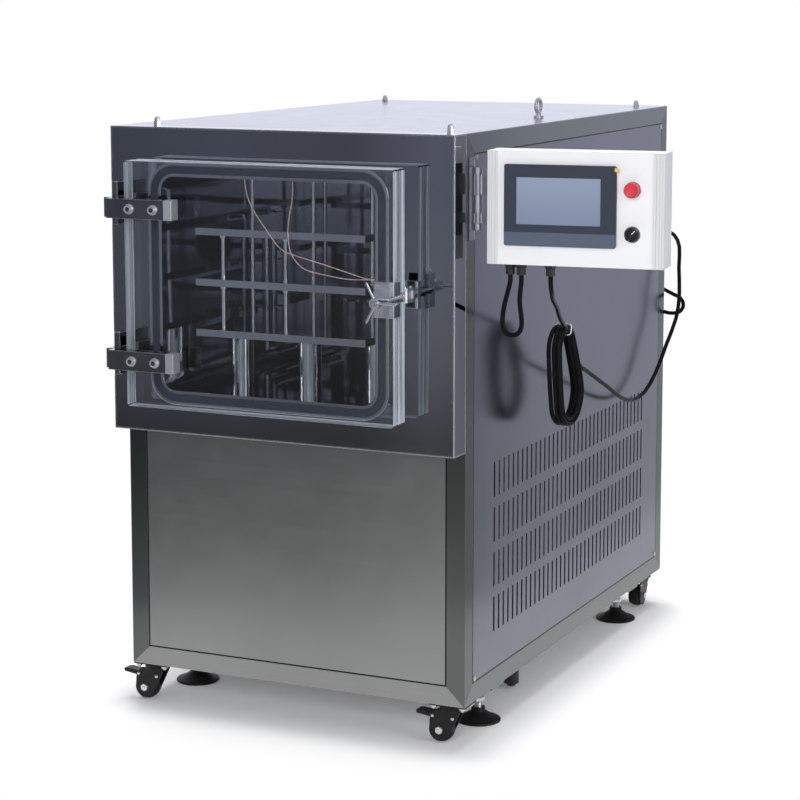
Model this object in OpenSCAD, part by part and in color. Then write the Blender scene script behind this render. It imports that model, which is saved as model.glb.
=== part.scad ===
// Laboratory freeze dryer: a stainless floor cabinet with a mirror-polished bonnet, a front-opening
// vacuum chamber behind a clear door, an internal refrigeration set and a swing-out control box.
// The front faces -Y and the floor is at Z = 0.
// Each node is drawn in cabinet coordinates, where X = 0 is the cabinet's left side and Y = 0 its
// front plane, and at_cabinet() moves it so that the origin is under the middle of the machine.

/* [Cabinet] */
// Width of the cabinet
cab_w = 735; // [640:1:880]
// Depth of the cabinet
cab_d = 1180; // [1140:1:1420]
// Height of the cabinet body, without the floor gap
cab_h = 1097; // [1090:1:1310]
// Height of the cabinet's underside above the floor
floor_gap = 82; // [78:1:98]
// Width of the welded frame's borders
border = 38; // [32:1:46]
// Depth of the lip that the panels are screwed to
lip = 12; // [10:1:16]
// Thickness of the frame's steel angle
frame_t = 5; // [4:0.5:6]
// Thickness of the sheet panels
sheet = 1.5; // [1:0.1:2]
// Gap between a panel's edge and the frame
seam = 1; // [0.5:0.1:2]
// Height of the rails that carry the chamber and the cold trap
rail_h = 30; // [24:1:40]

/* [Bonnet] */
// How far the bonnet stands out in front of the cabinet
bonnet_out = 54; // [45:1:64]
// Height of the bonnet
bonnet_h = 601; // [580:1:720]
// Sheet thickness of the bonnet
bonnet_t = 2; // [1.5:0.1:3]

/* [Vents] */
// Number of slots in a row
slot_count = 37; // [20:1:44]
// Width of a slot
slot_w = 8; // [5:0.5:11]
// Height of a slot
slot_h = 69; // [50:1:80]
// Distance between rows of slots
slot_row_pitch = 89.5; // [84:0.5:100]
// Number of rows of slots
slot_rows = 4; // [1:1:4]
// Distance from the front plane to the first slot
slot_y0 = 145; // [120:1:170]
// Distance between slots in a row
slot_pitch = 24.5; // [20:0.5:26]
// Height of the lowest row above the floor
slot_z0 = 197; // [180:1:230]

/* [Chamber] */
// Width of the chamber inside
ch_w = 455; // [400:1:470]
// Height of the chamber inside
ch_h = 415; // [410:1:430]
// Depth of the chamber behind the flange
ch_d = 574; // [560:1:600]
// Corner radius inside the chamber
ch_r = 28; // [20:1:40]
// Wall thickness of the chamber
ch_wall = 5; // [3:0.5:8]
// Thickness of the chamber's back plate
ch_back = 8; // [5:1:12]
// Height of the chamber's middle above the floor
ch_z = 880; // [878:1:890]
// Width of the door flange's land around the opening
flange_w = 28; // [24:1:32]
// Thickness of the door flange
flange_t = 28; // [20:1:32]
// Width of the gasket
gasket_w = 14; // [10:1:16]
// Depth of the gasket's groove
groove_d = 5; // [3:1:8]
// Radius of the vapour port in the chamber's back
vapour_r = 50; // [30:1:60]

/* [Shelves] */
// Width of a shelf
shelf_w = 365; // [300:1:380]
// Depth of a shelf
shelf_d = 480; // [440:1:500]
// Thickness of a shelf
shelf_t = 14; // [10:1:18]
// Distance between shelves
shelf_pitch = 99; // [80:1:104]
// Height of the lowest shelf's top above the floor
shelf_low_z = 788; // [770:1:800]
// Distance from the front plane back to a shelf's front edge (negative is in front)
shelf_y0 = -30; // [-34:1:-20]
// Radius of the shelf rods
rod_r = 4; // [3:0.5:6]
// Radius of the posts under the lowest shelf
post_r = 23; // [15:1:28]

/* [Door] */
// Width of the clear door
door_w = 570; // [560:1:590]
// Height of the clear door
door_h = 477; // [475:1:492]
// Thickness of the clear door
door_t = 50; // [35:1:55]
// Radius of the door's corners
door_r = 6; // [3:1:12]
// Distance from the chamber's middle to the door's left edge
door_left = 289.5; // [286:0.5:292]
// Length of a hinge bar
bar_l = 144; // [125:1:156]
// Height of a hinge bar
bar_h = 38; // [32:1:44]
// Thickness of a hinge bar
bar_t = 25; // [20:1:30]
// Height of the upper hinge bar's middle above the floor
bar_top_z = 1028; // [1010:1:1045]
// Height of the lower hinge bar's middle above the floor
bar_low_z = 734; // [720:1:750]
// Radius of the door's hinge pins
pin_r = 5; // [4:0.5:6]
// Distance from the door's left edge out to the hinge axis
hinge_out = 32; // [30:1:34]
// Distance from the door's front face back to the hinge axis
hinge_back = 20; // [18:1:24]

/* [Latch] */
// Height of the latch above the floor
latch_z = 881; // [840:1:920]
// Distance from the door's right edge in to the swing bolt
latch_in = 8; // [6:1:10]
// Radius of the swing bolt
bolt_r = 5; // [4:0.5:6]
// Length of the swing bolt, from its pivot
bolt_l = 134; // [128:1:150]
// Radius of the eye at the bolt's end
eye_r = 10; // [9:0.5:11]
// Length of the star handle's arms, from the bolt's axis
arm_l = 42; // [30:1:50]

/* [Control box] */
// Width of the control box
box_w = 330; // [300:1:380]
// Height of the control box
box_h = 210; // [200:1:250]
// Depth of the control box
box_d = 72; // [66:1:80]
// Height of the control box's middle above the floor
box_z = 1045; // [1030:1:1060]
// Distance from the hinge axis to the control box's side
box_gap = 30; // [26:1:36]
// Distance from the hinge axis forward to the control box's face
box_front = 46; // [40:1:50]
// Angle that the control box stands turned by
box_turn = 7; // [0:1:12]
// Distance from the front plane back to the control box's hinge axis
box_hinge_y = 36; // [34:1:40]
// Width of a side rail of the control box
box_rail_w = 20; // [14:1:24]
// Wall thickness of the control box
box_wall = 2; // [1.5:0.1:3]
// Width of the touch panel
hmi_w = 210; // [190:1:220]
// Height of the touch panel
hmi_h = 150; // [130:1:160]

/* [Casters and feet] */
// Radius of a caster wheel
wheel_r = 25; // [22:0.5:26]
// Width of a caster wheel
wheel_w = 20; // [16:1:22]
// Height of the wheels above the floor when the feet are down
wheel_lift = 2; // [1:0.5:4]
// Offset of the wheel's axle from the swivel axis
caster_trail = 21; // [16:1:24]
// Radius of a levelling foot's pad
pad_r = 45; // [35:1:48]
// Radius of a levelling foot's stem
stem_r = 8; // [6:0.5:9]
// Distance from the cabinet's side to a levelling foot
foot_x = 47; // [47:1:56]
// Distance from the cabinet's front or back to a levelling foot
foot_y = 180; // [160:1:220]

/* [Services] */
// Bore radius of the rear vacuum port
port_r = 20.5; // [12:0.5:25]
// Radius of the cold trap
trap_r = 160; // [120:1:170]
// Length of the cold trap
trap_l = 500; // [400:1:520]
// Radius of the condenser fan
fan_r = 160; // [120:1:175]
// Diameter of the control cables
cable_d = 9; // [6:0.5:11]

/* [Hidden] */

$fn = 64;
eps = 0.5;
rest_gap = 0.3;
run_gap = 0.05;

// Cabinet planes.
cab_top = floor_gap + cab_h;
frame_top = cab_top - sheet;
bonnet_z0 = cab_top - bonnet_h;
face_y = -bonnet_out;
panel_in = border + seam;
side_z0 = floor_gap + panel_in;
side_z1 = cab_top - panel_in;
tray_z = floor_gap + frame_t;
deck_z = tray_z + 3;
screw_in = 7;
screw_r = 2;
screw_l = 9;
cap_x = 50;
cap_spots = [[cap_x, 40], [cab_w - cap_x, 40], [cap_x, cab_d - 75], [cab_w - cap_x, cab_d - 75]];
eye_x = cab_w - 77;
eye_y = 560;
eye_screw_r = 6;
beam_h = 30;

// Chamber, flange and shelves.
ch_x = cab_w / 2;
flange_y = face_y - flange_t;
ch_end = face_y + ch_d;
ch_low = ch_z - ch_h / 2;
ch_high = ch_z + ch_h / 2;
rail_top = ch_low - ch_wall;
groove_in = (flange_w - gasket_w) / 2;
gasket_out = 2;
port_x = ch_x + ch_w / 2 + ch_wall;
port_y = -38;
port_z = 905;
port_hole_r = 9;
oil_r = 7;
oil_in = [[26, 300, 700], [10, 360, 730]];
oil_back = [585, 545];
shelf_x0 = ch_x - shelf_w / 2;
shelf_tops = [for (k = [0 : 2]) shelf_low_z + k * shelf_pitch];
front_rods = [[-132, 20], [4, 20]];
tall_rods = [[-132, 140], [4, 140], [132, 140], [-132, shelf_d - 20], [132, shelf_d - 20]];
posts = [for (x = [-152, 0, 148], y = [130, 430]) [x, y]];
collar_r = 7;
collar_h = 6;

// Door, hinge and latch.
door_back = flange_y - gasket_out;
door_front = door_back - door_t;
door_x0 = ch_x - door_left;
door_x1 = door_x0 + door_w;
hinge_x = door_x0 - hinge_out;
latch_x = door_x1 - latch_in;
bar_x0 = hinge_x + 6;
bar_zs = [bar_low_z, bar_top_z];
bar_screws = [52, 104];
bar_screw_r = 5;
hinge_y = door_front + hinge_back;
boss_half = 10;
ear_half = pin_r + 2;
ear_up = 28;
ear_down = 16;
ear_base = 8;
boss_lap = 6;
bar_screw_in = 28;
strike_screws = [-25, 25];
strike_screw_in = 20;
latch_base = 6;
latch_ear_t = 6;
latch_pin_r = 4;
bolt_y = face_y - latch_base - eye_r - 1;
strike_t = 15;
strike_x0 = door_x1 - 33;
strike_x1 = door_x1 + 7;
strike_half = 33;
strike_screw_r = 3;
strike_ramp = 2;
slot_gap = 3;
slot_half = bolt_r + 2;
notch_gap = 9;
notch_half = bolt_r + 4;
eye_half = 7.5;
hub_y = door_front - strike_t - rest_gap;
hub_l = 52;
hub_r = 10;
arm_rod_r = 2.5;
arm_angles = [118, 242, 0];

// Control box, in the hinge's own coordinates: X along the box, -Y out of its face.
knuckle_r = 7;
leaf_t = 2;
leaf_y0 = 10;
leaf_low = -66;
leaf_high = 89;
box_hinge_x = cab_w + leaf_t + knuckle_r;
box_x1 = box_gap + box_w;
box_back = box_d - box_front;
box_face = 1 - box_front;
rail_x0 = box_gap + box_rail_w;
rail_x1 = box_x1 - box_rail_w;
knuckles = [[-48, -35], [-16, 18], [57, 70]];
arm_knuckles = [[-34.7, -16.3], [18.3, 56.7]];
arm_r = 5;
arm_pin_r = 3;
hmi_x = box_x1 - 192;
hmi_z = 6;
hmi_t = 6;
hmi_lap = 10;
hmi_body_d = 32;
screen_x = -3;
screen_z = 8;
screen_w = 158;
screen_h = 87;
bezel_t = 5;
bezel_r = 15;
bezel_barrel_r = 10.8;
button_r = 14;
button_t = 12;
button_gap = 5;
knob_r = 13.5;
knob_t = 7;
knob_angle = 45;
grip_t = 10;
button_x = box_x1 - 57;
button_z = 39;
knob_z = -42;
stem_hole_r = 6;

// Casters and feet.
caster_x = 38;
caster_y = 30;
plate_t = 3;
axle_r = 4;
axle_z = wheel_r + wheel_lift;
fork_top = floor_gap - plate_t - rest_gap;
cheek_in = wheel_w / 2 + 1.5;
cheek_t = 3;
cheek_r = wheel_r - 3;
pedal_x = -36;
pedal_z = 54;
pedal_reach = 72;
pedal_x0 = pedal_reach * -1 - pedal_x;
pedal_pin_r = 2;
king_r = 5;
fork_z0 = 66;
caster_turns = [0, 0, 0, 90];
foot_boss_t = 8;
nut_t = 12;
ends = [[0, 0], [1, 0], [0, 1], [1, 1]];

// Machinery.
trap_gap = 32;
trap_y0 = ch_end + ch_back + trap_gap;
trap_y1 = trap_y0 + trap_l;
trap_wall = 4;
trap_jacket = 40;
trap_ports = [trap_y0 + 240, trap_y0 + 340];
port_out = 60;
cross_rails = [60, 460, trap_y0 + 40, trap_y1 - 70];
cond_x0 = cab_w - 100;
cond_t = 45;
cond_y0 = 290;
cond_y1 = 710;
cond_z1 = 520;
cond_low = deck_z + 12;
shroud_t = 35;
fan_y = (cond_y0 + cond_y1) / 2;
fan_z = (cond_low + cond_z1) / 2;
motor_r = 30;
shaft_r = 5;
comp_x = 230;
comp_y = 250;
comp_r = 85;
comp_h = 280;
comp_top = deck_z + comp_h + 35;
pipe_z = 330;
line_z = 600;
line_r = 6;
drain_x = cab_w - 67;
drain_y = 405;
drain_r = 9;
drain_body_r = 16;
drain_body_l = 46;
drain_low = 6;
tank_x = 175;
tank_y = 610;
tank_r = 95;
tank_h = 330;
elec_x = [60, 360];
elec_z = [180, 560];
rear_glands = [[672, 890], [672, 760], [672, 704]];
panel_gland_spots = [[65, -10], [87, -13], [143, -14]];
gland_l = 22;
gland_thread_r = 6;

// Origin: under the middle of the machine, measured without its free cables.
wide_x0 = caster_x - pedal_reach;
wide_x1 = box_hinge_x + box_x1 * cos(box_turn) + box_front * sin(box_turn);
wide_y0 = bolt_y - bolt_l;
wide_y1 = cab_d + port_out;
shift_x = -(wide_x0 + wide_x1) / 2;
shift_y = -(wide_y0 + wide_y1) / 2;

// Cable routes in cabinet coordinates, from gland to gland.
SENSOR_CABLE = [[810, 34, 918], [810, 34, 906], [806, 34, 888], [800, 34, 866], [796, 34, 846],
  [795, 34, 834], [795, 34, 822], [798, 34, 812], [805, 34, 805], [814, 34, 803], [823, 34, 805],
  [830, 34, 812], [833, 34, 822], [833, 34, 834], [831, 34, 850], [829, 34, 868], [830, 34, 886],
  [832, 34, 904], [832, 34, 918]];
PANEL_DROP = [[888, 40, 918], [888, 40, 914], [888, 40, 909], [887, 43, 900], [884, 54, 890], [878, 74, 879],
  [866, 110, 864], [848, 180, 838], [828, 250, 808], [812, 312, 776]];
PANEL_LOOP = [[798, 406, 704], [794, 440, 690], [790, 510, 662], [780, 662, 606], [772, 776, 563],
  [766, 870, 541], [766, 954, 545], [768, 1028, 580], [772, 1090, 636], [775, 1150, 690],
  [776, 1168, 744], [770, 1180, 805], [764, 1200, 850], [742, 1224, 876], [706, 1234, 887],
  [682, 1227, 890], [672, 1212, 890], [672, 1202, 890]];
REAR_CABLE = [[672, 1202, 760], [672, 1211, 760], [679, 1226, 758], [694, 1233, 753],
  [712, 1234, 746], [730, 1230, 739], [747, 1225, 733], [758, 1223, 729], [766, 1222, 721],
  [769, 1222, 711], [766, 1222, 701], [758, 1223, 693], [747, 1225, 690], [730, 1230, 689],
  [712, 1234, 692], [694, 1233, 697], [679, 1226, 702], [672, 1211, 704], [672, 1202, 704]];
LEAD_A = [[302, -42, 1087], [302, -42, 1078], [307, -42, 1052], [320, -42, 1026], [339, -42, 1000],
  [360, -42, 973], [376, -42, 956], [394, -42, 947], [430, -42, 938], [473, -42, 928],
  [520, -42, 916], [556, -42, 907], [586, -42, 905]];
LEAD_B = [[402, -37, 1087], [402, -37, 1076], [400, -37, 1045], [394, -37, 1016], [391, -37, 987],
  [395, -37, 953], [408, -37, 931], [430, -37, 916], [473, -37, 908], [518, -37, 903],
  [556, -37, 904], [586, -37, 905]];
LEAD_R = 1;
HANK_AT = [800, 350, 679];
HANK_TILT = 18;
HANK_W = 150;
HANK_H = 214;
HANK_T = 30;

module at_cabinet() translate([shift_x, shift_y, 0]) children();

// Puts children drawn in hinge coordinates where the control box stands.
module at_box() at_cabinet() translate([box_hinge_x, box_hinge_y, box_z])
  rotate([0, 0, box_turn]) children();

// Rectangle with round corners, centred.
module rrect(w, h, r) {
  square([w - 2 * r, h], center = true);
  square([w, h - 2 * r], center = true);
  for (x = [-1, 1], y = [-1, 1])
    translate([x * (w / 2 - r), y * (h / 2 - r)]) circle(r);
}

// Rounded bar along Y, from y0 to y1, centred on the chamber.
module bar_y(w, h, r, y0, y1) translate([ch_x, y1, ch_z]) rotate([90, 0, 0])
  linear_extrude(y1 - y0) rrect(w, h, r);

// Cylinders along the axes, from the point p.
module rod_x(p, r, l) translate(p) rotate([0, 90, 0]) cylinder(r = r, h = l);
module rod_y(p, r, l) translate(p) rotate([-90, 0, 0]) cylinder(r = r, h = l);
module rod_z(p, r, l) translate(p) cylinder(r = r, h = l);
module hex_y(p, r, l) translate(p) rotate([-90, 0, 0]) cylinder(r = r, h = l, $fn = 6);
module hex_z(p, r, l) translate(p) cylinder(r = r, h = l, $fn = 6);

// Box between two corners.
module block(a, b) translate(a) cube(b - a);

// Pipe of straight runs through a list of points, with round elbows.
module pipe(p, r) for (i = [0 : len(p) - 2]) {
  d = p[i + 1] - p[i];
  run = norm(d);
  if (d[0] != 0) rod_x(d[0] > 0 ? p[i] : p[i + 1], r, run);
  if (d[1] != 0) rod_y(d[1] > 0 ? p[i] : p[i + 1], r, run);
  if (d[2] != 0) rod_z(d[2] > 0 ? p[i] : p[i + 1], r, run);
  if (i > 0) translate(p[i]) sphere(r);
}

// Tube swept along a list of points, each ring square to the route.
function unit(v) = v / norm(v);
function along(p, i) = unit(p[min(i + 1, len(p) - 1)] - p[max(i - 1, 0)]);
function side(t) = unit(cross(t, abs(t[2]) > 0.95 ? [0, 1, 0] : [0, 0, 1]));
// Point at share u between p1 and p2, on a smooth curve through all four.
function blend(p0, p1, p2, p3, u) = 0.5 * (2 * p1 + (p2 - p0) * u
  + (2 * p0 - 5 * p1 + 4 * p2 - p3) * u * u + (3 * p1 - p0 - 3 * p2 + p3) * u * u * u);
function smooth(p, n) = [for (i = [0 : len(p) - 2], k = [0 : n - 1])
  blend(p[max(i - 1, 0)], p[i], p[i + 1], p[min(i + 2, len(p) - 1)], k / n), p[len(p) - 1]];

module sweep(p, r, sides) {
  last = len(p) - 1;
  frames = [for (i = 0, t = along(p, 0), a = side(t); i <= last;
    i = i + 1, t = along(p, min(i, last)), a = unit(a - t * (a * t))) [a, cross(t, a)]];
  rings = [for (i = [0 : last], k = [0 : sides - 1]) p[i]
    + r * (frames[i][0] * cos(360 * k / sides) + frames[i][1] * sin(360 * k / sides))];
  walls = [for (i = [0 : last - 1], k = [0 : sides - 1]) let (n = (k + 1) % sides, q = i * sides)
    for (f = [[q + k, q + sides + n, q + n], [q + k, q + sides + k, q + sides + n]]) f];
  caps = [[for (k = [0 : sides - 1]) k], [for (k = [sides - 1 : -1 : 0]) last * sides + k]];
  polyhedron(rings, concat(walls, caps));
}

// ---------------------------------------------------------------- cabinet

// Openings in a face, from the cabinet's edges inwards by m on each side.
module window_x(x0, x1, m) block([x0, m, floor_gap + m], [x1, cab_d - m, cab_top - m]);
module window_y(y0, y1, m) block([m, y0, floor_gap + m], [cab_w - m, y1, cab_top - m]);
module window_z(z0, z1, m) block([m, m, z0], [cab_w - m, cab_d - m, z1]);

// Floor position under the corner e that lies x and y in from the cabinet's edges.
function corner(e, x, y) = [e[0] == 0 ? x : cab_w - x, e[1] == 0 ? y : cab_d - y, 0];

// Screws near the corners of a side panel and of the rear panel.
side_screws = [for (y = [panel_in + screw_in, cab_d - panel_in - screw_in],
  z = [side_z0 + screw_in, side_z1 - screw_in]) [y, z]];
rear_screws = [for (x = [panel_in + screw_in, cab_w - panel_in - screw_in],
  z = [side_z0 + screw_in, side_z1 - screw_in]) [x, z]];

module side_screw_holes() for (s = side_screws, x = [-eps, cab_w - screw_l])
  rod_x([x, s[0], s[1]], screw_r + 0.2, screw_l + eps);
module rear_screw_holes() for (s = rear_screws)
  rod_y([s[0], cab_d - screw_l, s[1]], screw_r + 0.2, screw_l + eps);

module frame() color("silver") at_cabinet() difference() {
  union() {
    difference() {
      block([0, 0, floor_gap], [cab_w, cab_d, frame_top]);
      block([frame_t, frame_t, tray_z], [cab_w - frame_t, cab_d - frame_t, frame_top - frame_t]);
      for (x = [[-eps, sheet], [cab_w - sheet, cab_w + eps]]) window_x(x[0], x[1], border);
      for (x = [[-eps, 2 * frame_t], [cab_w - 2 * frame_t, cab_w + eps]])
        window_x(x[0], x[1], border + lip);
      for (y = [[-eps, sheet], [cab_d - sheet, cab_d + eps]]) window_y(y[0], y[1], border);
      for (y = [[-eps, 2 * frame_t], [cab_d - 2 * frame_t, cab_d + eps]])
        window_y(y[0], y[1], border + lip);
      window_z(floor_gap - eps, tray_z + eps, border + lip);
      window_z(frame_top - 2 * frame_t, frame_top + eps, border + 2 * lip);
    }
    for (x = [frame_t, cab_w - frame_t - rail_h])
      block([x, frame_t, rail_top - rail_h], [x + rail_h, cab_d - frame_t, rail_top]);
    for (y = cross_rails)
      block([frame_t, y, rail_top - rail_h], [cab_w - frame_t, y + rail_h, rail_top]);
    block([frame_t, sheet, bonnet_z0 - beam_h], [cab_w - frame_t, sheet + beam_h, bonnet_z0]);
    for (e = ends) translate(corner(e, foot_x, foot_y))
      block([frame_t - foot_x, -30, floor_gap - foot_boss_t], [foot_x - frame_t, 30, floor_gap]);
  }
  for (e = ends) rod_z(corner(e, foot_x, foot_y) + [0, 0, floor_gap - foot_boss_t - eps],
    stem_r + run_gap, foot_boss_t + frame_t + 2 * eps);
  for (p = cap_spots) rod_z([p[0], p[1], frame_top - 2 * frame_t], screw_r + 1.2, 3 * frame_t);
  side_screw_holes();
  rear_screw_holes();
}

module front_panel() color("gray") at_cabinet()
  block([panel_in, 0, side_z0], [cab_w - panel_in, sheet, bonnet_z0 - rest_gap]);

module side_plate(x0) difference() {
  block([x0, panel_in, side_z0], [x0 + sheet, cab_d - panel_in, side_z1]);
  for (r = [0 : slot_rows - 1], k = [0 : slot_count - 1])
    translate([x0 - eps, slot_y0 + k * slot_pitch - slot_w / 2, slot_z0 + r * slot_row_pitch])
      cube([sheet + 2 * eps, slot_w, slot_h]);
  side_screw_holes();
}

module left_panel() color("lightslategray") at_cabinet() side_plate(0);
module right_panel() color("lightslategray") at_cabinet() side_plate(cab_w - sheet);

module rear_panel() color("lightslategray") at_cabinet() difference() {
  block([panel_in, cab_d - sheet, side_z0], [cab_w - panel_in, cab_d, side_z1]);
  rear_screw_holes();
  rod_y([ch_x, cab_d - sheet - eps, ch_z], port_r + 4, sheet + 2 * eps);
  for (g = rear_glands)
    rod_y([g[0], cab_d - sheet - eps, g[1]], gland_thread_r + 0.2, sheet + 2 * eps);
}

module top_panel() color("lavender") at_cabinet() difference() {
  block([0, 0, frame_top], [cab_w, cab_d, cab_top]);
  for (p = cap_spots) rod_z([p[0], p[1], frame_top - eps], screw_r + 1.2, sheet + 2 * eps);
  rod_z([eye_x, eye_y, frame_top - eps], eye_screw_r + 0.2, sheet + 2 * eps);
}

module base_tray() color("gray") at_cabinet() difference() {
  block([frame_t + 1, frame_t + 1, tray_z], [cab_w - frame_t - 1, cab_d - frame_t - 1, deck_z]);
  for (e = ends) rod_z(corner(e, foot_x, foot_y) + [0, 0, tray_z - eps], stem_r + 3, 4);
  rod_z([drain_x, drain_y, tray_z - eps], drain_r + 0.2, 4);
}

// Round-headed screw along X or Y with its head outside the plane at p, and a domed cap nut.
module side_screw(p, d) {
  rod_x(d > 0 ? p - [screw_l, 0, 0] : p, screw_r, screw_l);
  rod_x(d > 0 ? p : p - [2, 0, 0], 5, 2);
}
module rear_screw(p) {
  rod_y(p - [0, screw_l, 0], screw_r, screw_l);
  rod_y(p, 5, 2);
}
module cap_nut(p) {
  rod_z(p - [0, 0, 14], screw_r + 1, 15);
  hex_z(p, 7.5, 6);
  rod_z(p + [0, 0, 6], 6, 3);
  translate(p + [0, 0, 9]) difference() {
    sphere(6);
    translate([-10, -10, -20]) cube(20);
  }
}

module case_fasteners() color("gainsboro") at_cabinet() {
  for (s = side_screws) {
    side_screw([cab_w, s[0], s[1]], 1);
    side_screw([0, s[0], s[1]], -1);
  }
  for (s = rear_screws) rear_screw([s[0], cab_d, s[1]]);
  for (p = cap_spots) cap_nut([p[0], p[1], cab_top]);
  for (e = ends) translate(corner(e, foot_x, foot_y) + [0, 0, floor_gap - foot_boss_t - nut_t])
    difference() {
      hex_z([0, 0, 0], stem_r + 6, nut_t);
      rod_z([0, 0, -eps], stem_r + run_gap, nut_t + 2 * eps);
    }
}

// Eye bolt with its collar on the top plate and a nut under it.
module lifting_eye() color("gainsboro") at_cabinet() translate([eye_x, eye_y, cab_top]) {
  rod_z([0, 0, 0], 11, 5);
  rod_z([0, 0, 4], eye_screw_r, 6);
  translate([0, 0, 25]) rotate([0, 90, 0]) rotate_extrude() translate([14, 0]) circle(4);
  rod_z([0, 0, -20], eye_screw_r, 21);
  difference() {
    hex_z([0, 0, -sheet - 9], 11, 9);
    rod_z([0, 0, -sheet - 10], eye_screw_r, 12);
  }
}

// ---------------------------------------------------------------- bonnet and chamber

module bonnet() color("slategray") at_cabinet() difference() {
  block([0, face_y, bonnet_z0], [cab_w, 0, cab_top]);
  block([bonnet_t, face_y + bonnet_t, bonnet_z0 + bonnet_t],
    [cab_w - bonnet_t, eps, cab_top - bonnet_t]);
  bar_y(ch_w + 2 * ch_wall + 1, ch_h + 2 * ch_wall + 1, ch_r + ch_wall + 0.5,
    face_y - eps, face_y + bonnet_t + eps);
}

// Rounded ring along Y around the chamber's opening, from in to out beyond its edge.
module ring_y(in, out, y0, y1) difference() {
  bar_y(ch_w + 2 * out, ch_h + 2 * out, ch_r + out, y0, y1);
  bar_y(ch_w + 2 * in, ch_h + 2 * in, ch_r + in, y0 - eps, y1 + eps);
}

module chamber() color("silver") at_cabinet() difference() {
  union() {
    bar_y(ch_w + 2 * flange_w, ch_h + 2 * flange_w, ch_r + flange_w, flange_y, face_y);
    bar_y(ch_w + 2 * ch_wall, ch_h + 2 * ch_wall, ch_r + ch_wall, face_y, ch_end + ch_back);
  }
  bar_y(ch_w, ch_h, ch_r, flange_y - eps, ch_end);
  ring_y(groove_in, groove_in + gasket_w, flange_y - eps, flange_y + groove_d);
  rod_y([ch_x, ch_end - eps, ch_z], vapour_r, ch_back + 2 * eps);
  for (o = oil_in) rod_y([ch_x - ch_w / 2 + o[0], ch_end - eps, o[2]], oil_r + run_gap, ch_back + 2 * eps);
  rod_x([port_x - ch_wall - eps, port_y, port_z], port_hole_r, ch_wall + 2 * eps);
}

module door_gasket() color("darkslategray") at_cabinet()
  ring_y(groove_in, groove_in + gasket_w, door_back, flange_y + groove_d);

module shelf(top) difference() {
  block([shelf_x0, shelf_y0, top - shelf_t], [shelf_x0 + shelf_w, shelf_y0 + shelf_d, top]);
  for (r = concat(front_rods, tall_rods)) rod_z([ch_x + r[0], shelf_y0 + r[1], top - shelf_t - eps],
    rod_r + rest_gap, shelf_t + 2 * eps);
}

module shelves() color("silver") at_cabinet() for (top = shelf_tops) shelf(top);

// Rods through the shelves with collars under them, and the posts under the lowest shelf.
module shelf_supports() color("gainsboro") at_cabinet() {
  base = shelf_low_z - shelf_t;
  for (r = front_rods) translate([ch_x + r[0], shelf_y0 + r[1], 0]) {
    rod_z([0, 0, base], rod_r, shelf_tops[2] - base);
    for (k = [1, 2]) rod_z([0, 0, shelf_tops[k] - shelf_t - collar_h], collar_r, collar_h);
  }
  for (r = tall_rods) translate([ch_x + r[0], shelf_y0 + r[1], 0]) {
    rod_z([0, 0, base], rod_r, ch_high - base);
    for (k = [1, 2]) rod_z([0, 0, shelf_tops[k] - shelf_t - collar_h], collar_r, collar_h);
  }
  for (p = posts) rod_z([ch_x + p[0], shelf_y0 + p[1], ch_low], post_r, base - ch_low);
}

// Oil pipes: each rises beside the shelves, feeds all three and leaves through the back.
module oil_lines() color("silver") at_cabinet() for (k = [0, 1]) {
  o = oil_in[k];
  x = ch_x - ch_w / 2 + o[0];
  top = shelf_tops[2] - shelf_t / 2;
  pipe([[x, o[1], top], [x, o[1], o[2]], [x, oil_back[k], o[2]], [x, oil_back[k], deck_z + tank_h]], oil_r);
  translate([x, o[1], top]) sphere(oil_r);
  for (s = shelf_tops) rod_x([x, o[1], s - shelf_t / 2], 5, shelf_x0 - x);
}

module sensor_leads() color("rosybrown") at_cabinet() {
  sweep(smooth(LEAD_A, 2), LEAD_R, 8);
  sweep(smooth(LEAD_B, 2), LEAD_R, 8);
}

// Cable gland along Y on the rear panel, and the sealed plug that the sensor leads come from.
module cable_glands() color("black") at_cabinet() {
  for (g = rear_glands) {
    rod_y([g[0], cab_d - sheet - 8, g[1]], gland_thread_r, sheet + 9);
    hex_y([g[0], cab_d, g[1]], 12, 8);
    rod_y([g[0], cab_d + 8, g[1]], 9, gland_l - 8);
    hex_y([g[0], cab_d - sheet - 5, g[1]], 10, 5);
  }
  rod_x([port_x - ch_wall - 9, port_y, port_z], 12, 9);
  rod_x([port_x - ch_wall, port_y, port_z], port_hole_r, ch_wall + 15);
}

// ---------------------------------------------------------------- door hinge and latch

module hinge_ear(z0, z1) {
  block([hinge_x - ear_half, hinge_y, z0], [hinge_x + ear_half, face_y, z1]);
  rod_z([hinge_x, hinge_y, z0], ear_half, z1 - z0);
}

module hinge_brackets() color("silver") at_cabinet() for (z = bar_zs) difference() {
  low = z - bar_h / 2 - rest_gap;
  high = z + bar_h / 2 + rest_gap;
  union() {
    hinge_ear(low - ear_down, low);
    hinge_ear(high, high + ear_up);
    block([hinge_x - ear_half, face_y - ear_base, low - ear_down],
      [hinge_x + ear_half, face_y, high + ear_up]);
  }
  rod_z([hinge_x, hinge_y, low - ear_down - eps], pin_r + run_gap,
    bar_h + ear_up + ear_down + 2 * rest_gap + 2 * eps);
}

// Hinge pins of the door, the swing bolt and the control box, each with a head on top.
module headed_pin(p, r, l) {
  rod_z(p, r, l);
  rod_z(p + [0, 0, l], r + 2, 2);
}

module pivot_pins() color("gainsboro") {
  at_cabinet() {
    for (z = bar_zs) headed_pin([hinge_x, hinge_y, z - bar_h / 2 - rest_gap - ear_down], pin_r,
      bar_h + ear_up + ear_down + 2 * rest_gap);
    l = 2 * (eye_half + rest_gap + latch_ear_t);
    headed_pin([latch_x, bolt_y, latch_z - l / 2], latch_pin_r, l);
  }
  at_box() {
    low = knuckles[0][0];
    headed_pin([0, 0, low], arm_pin_r, knuckles[2][1] - low);
  }
}

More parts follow.
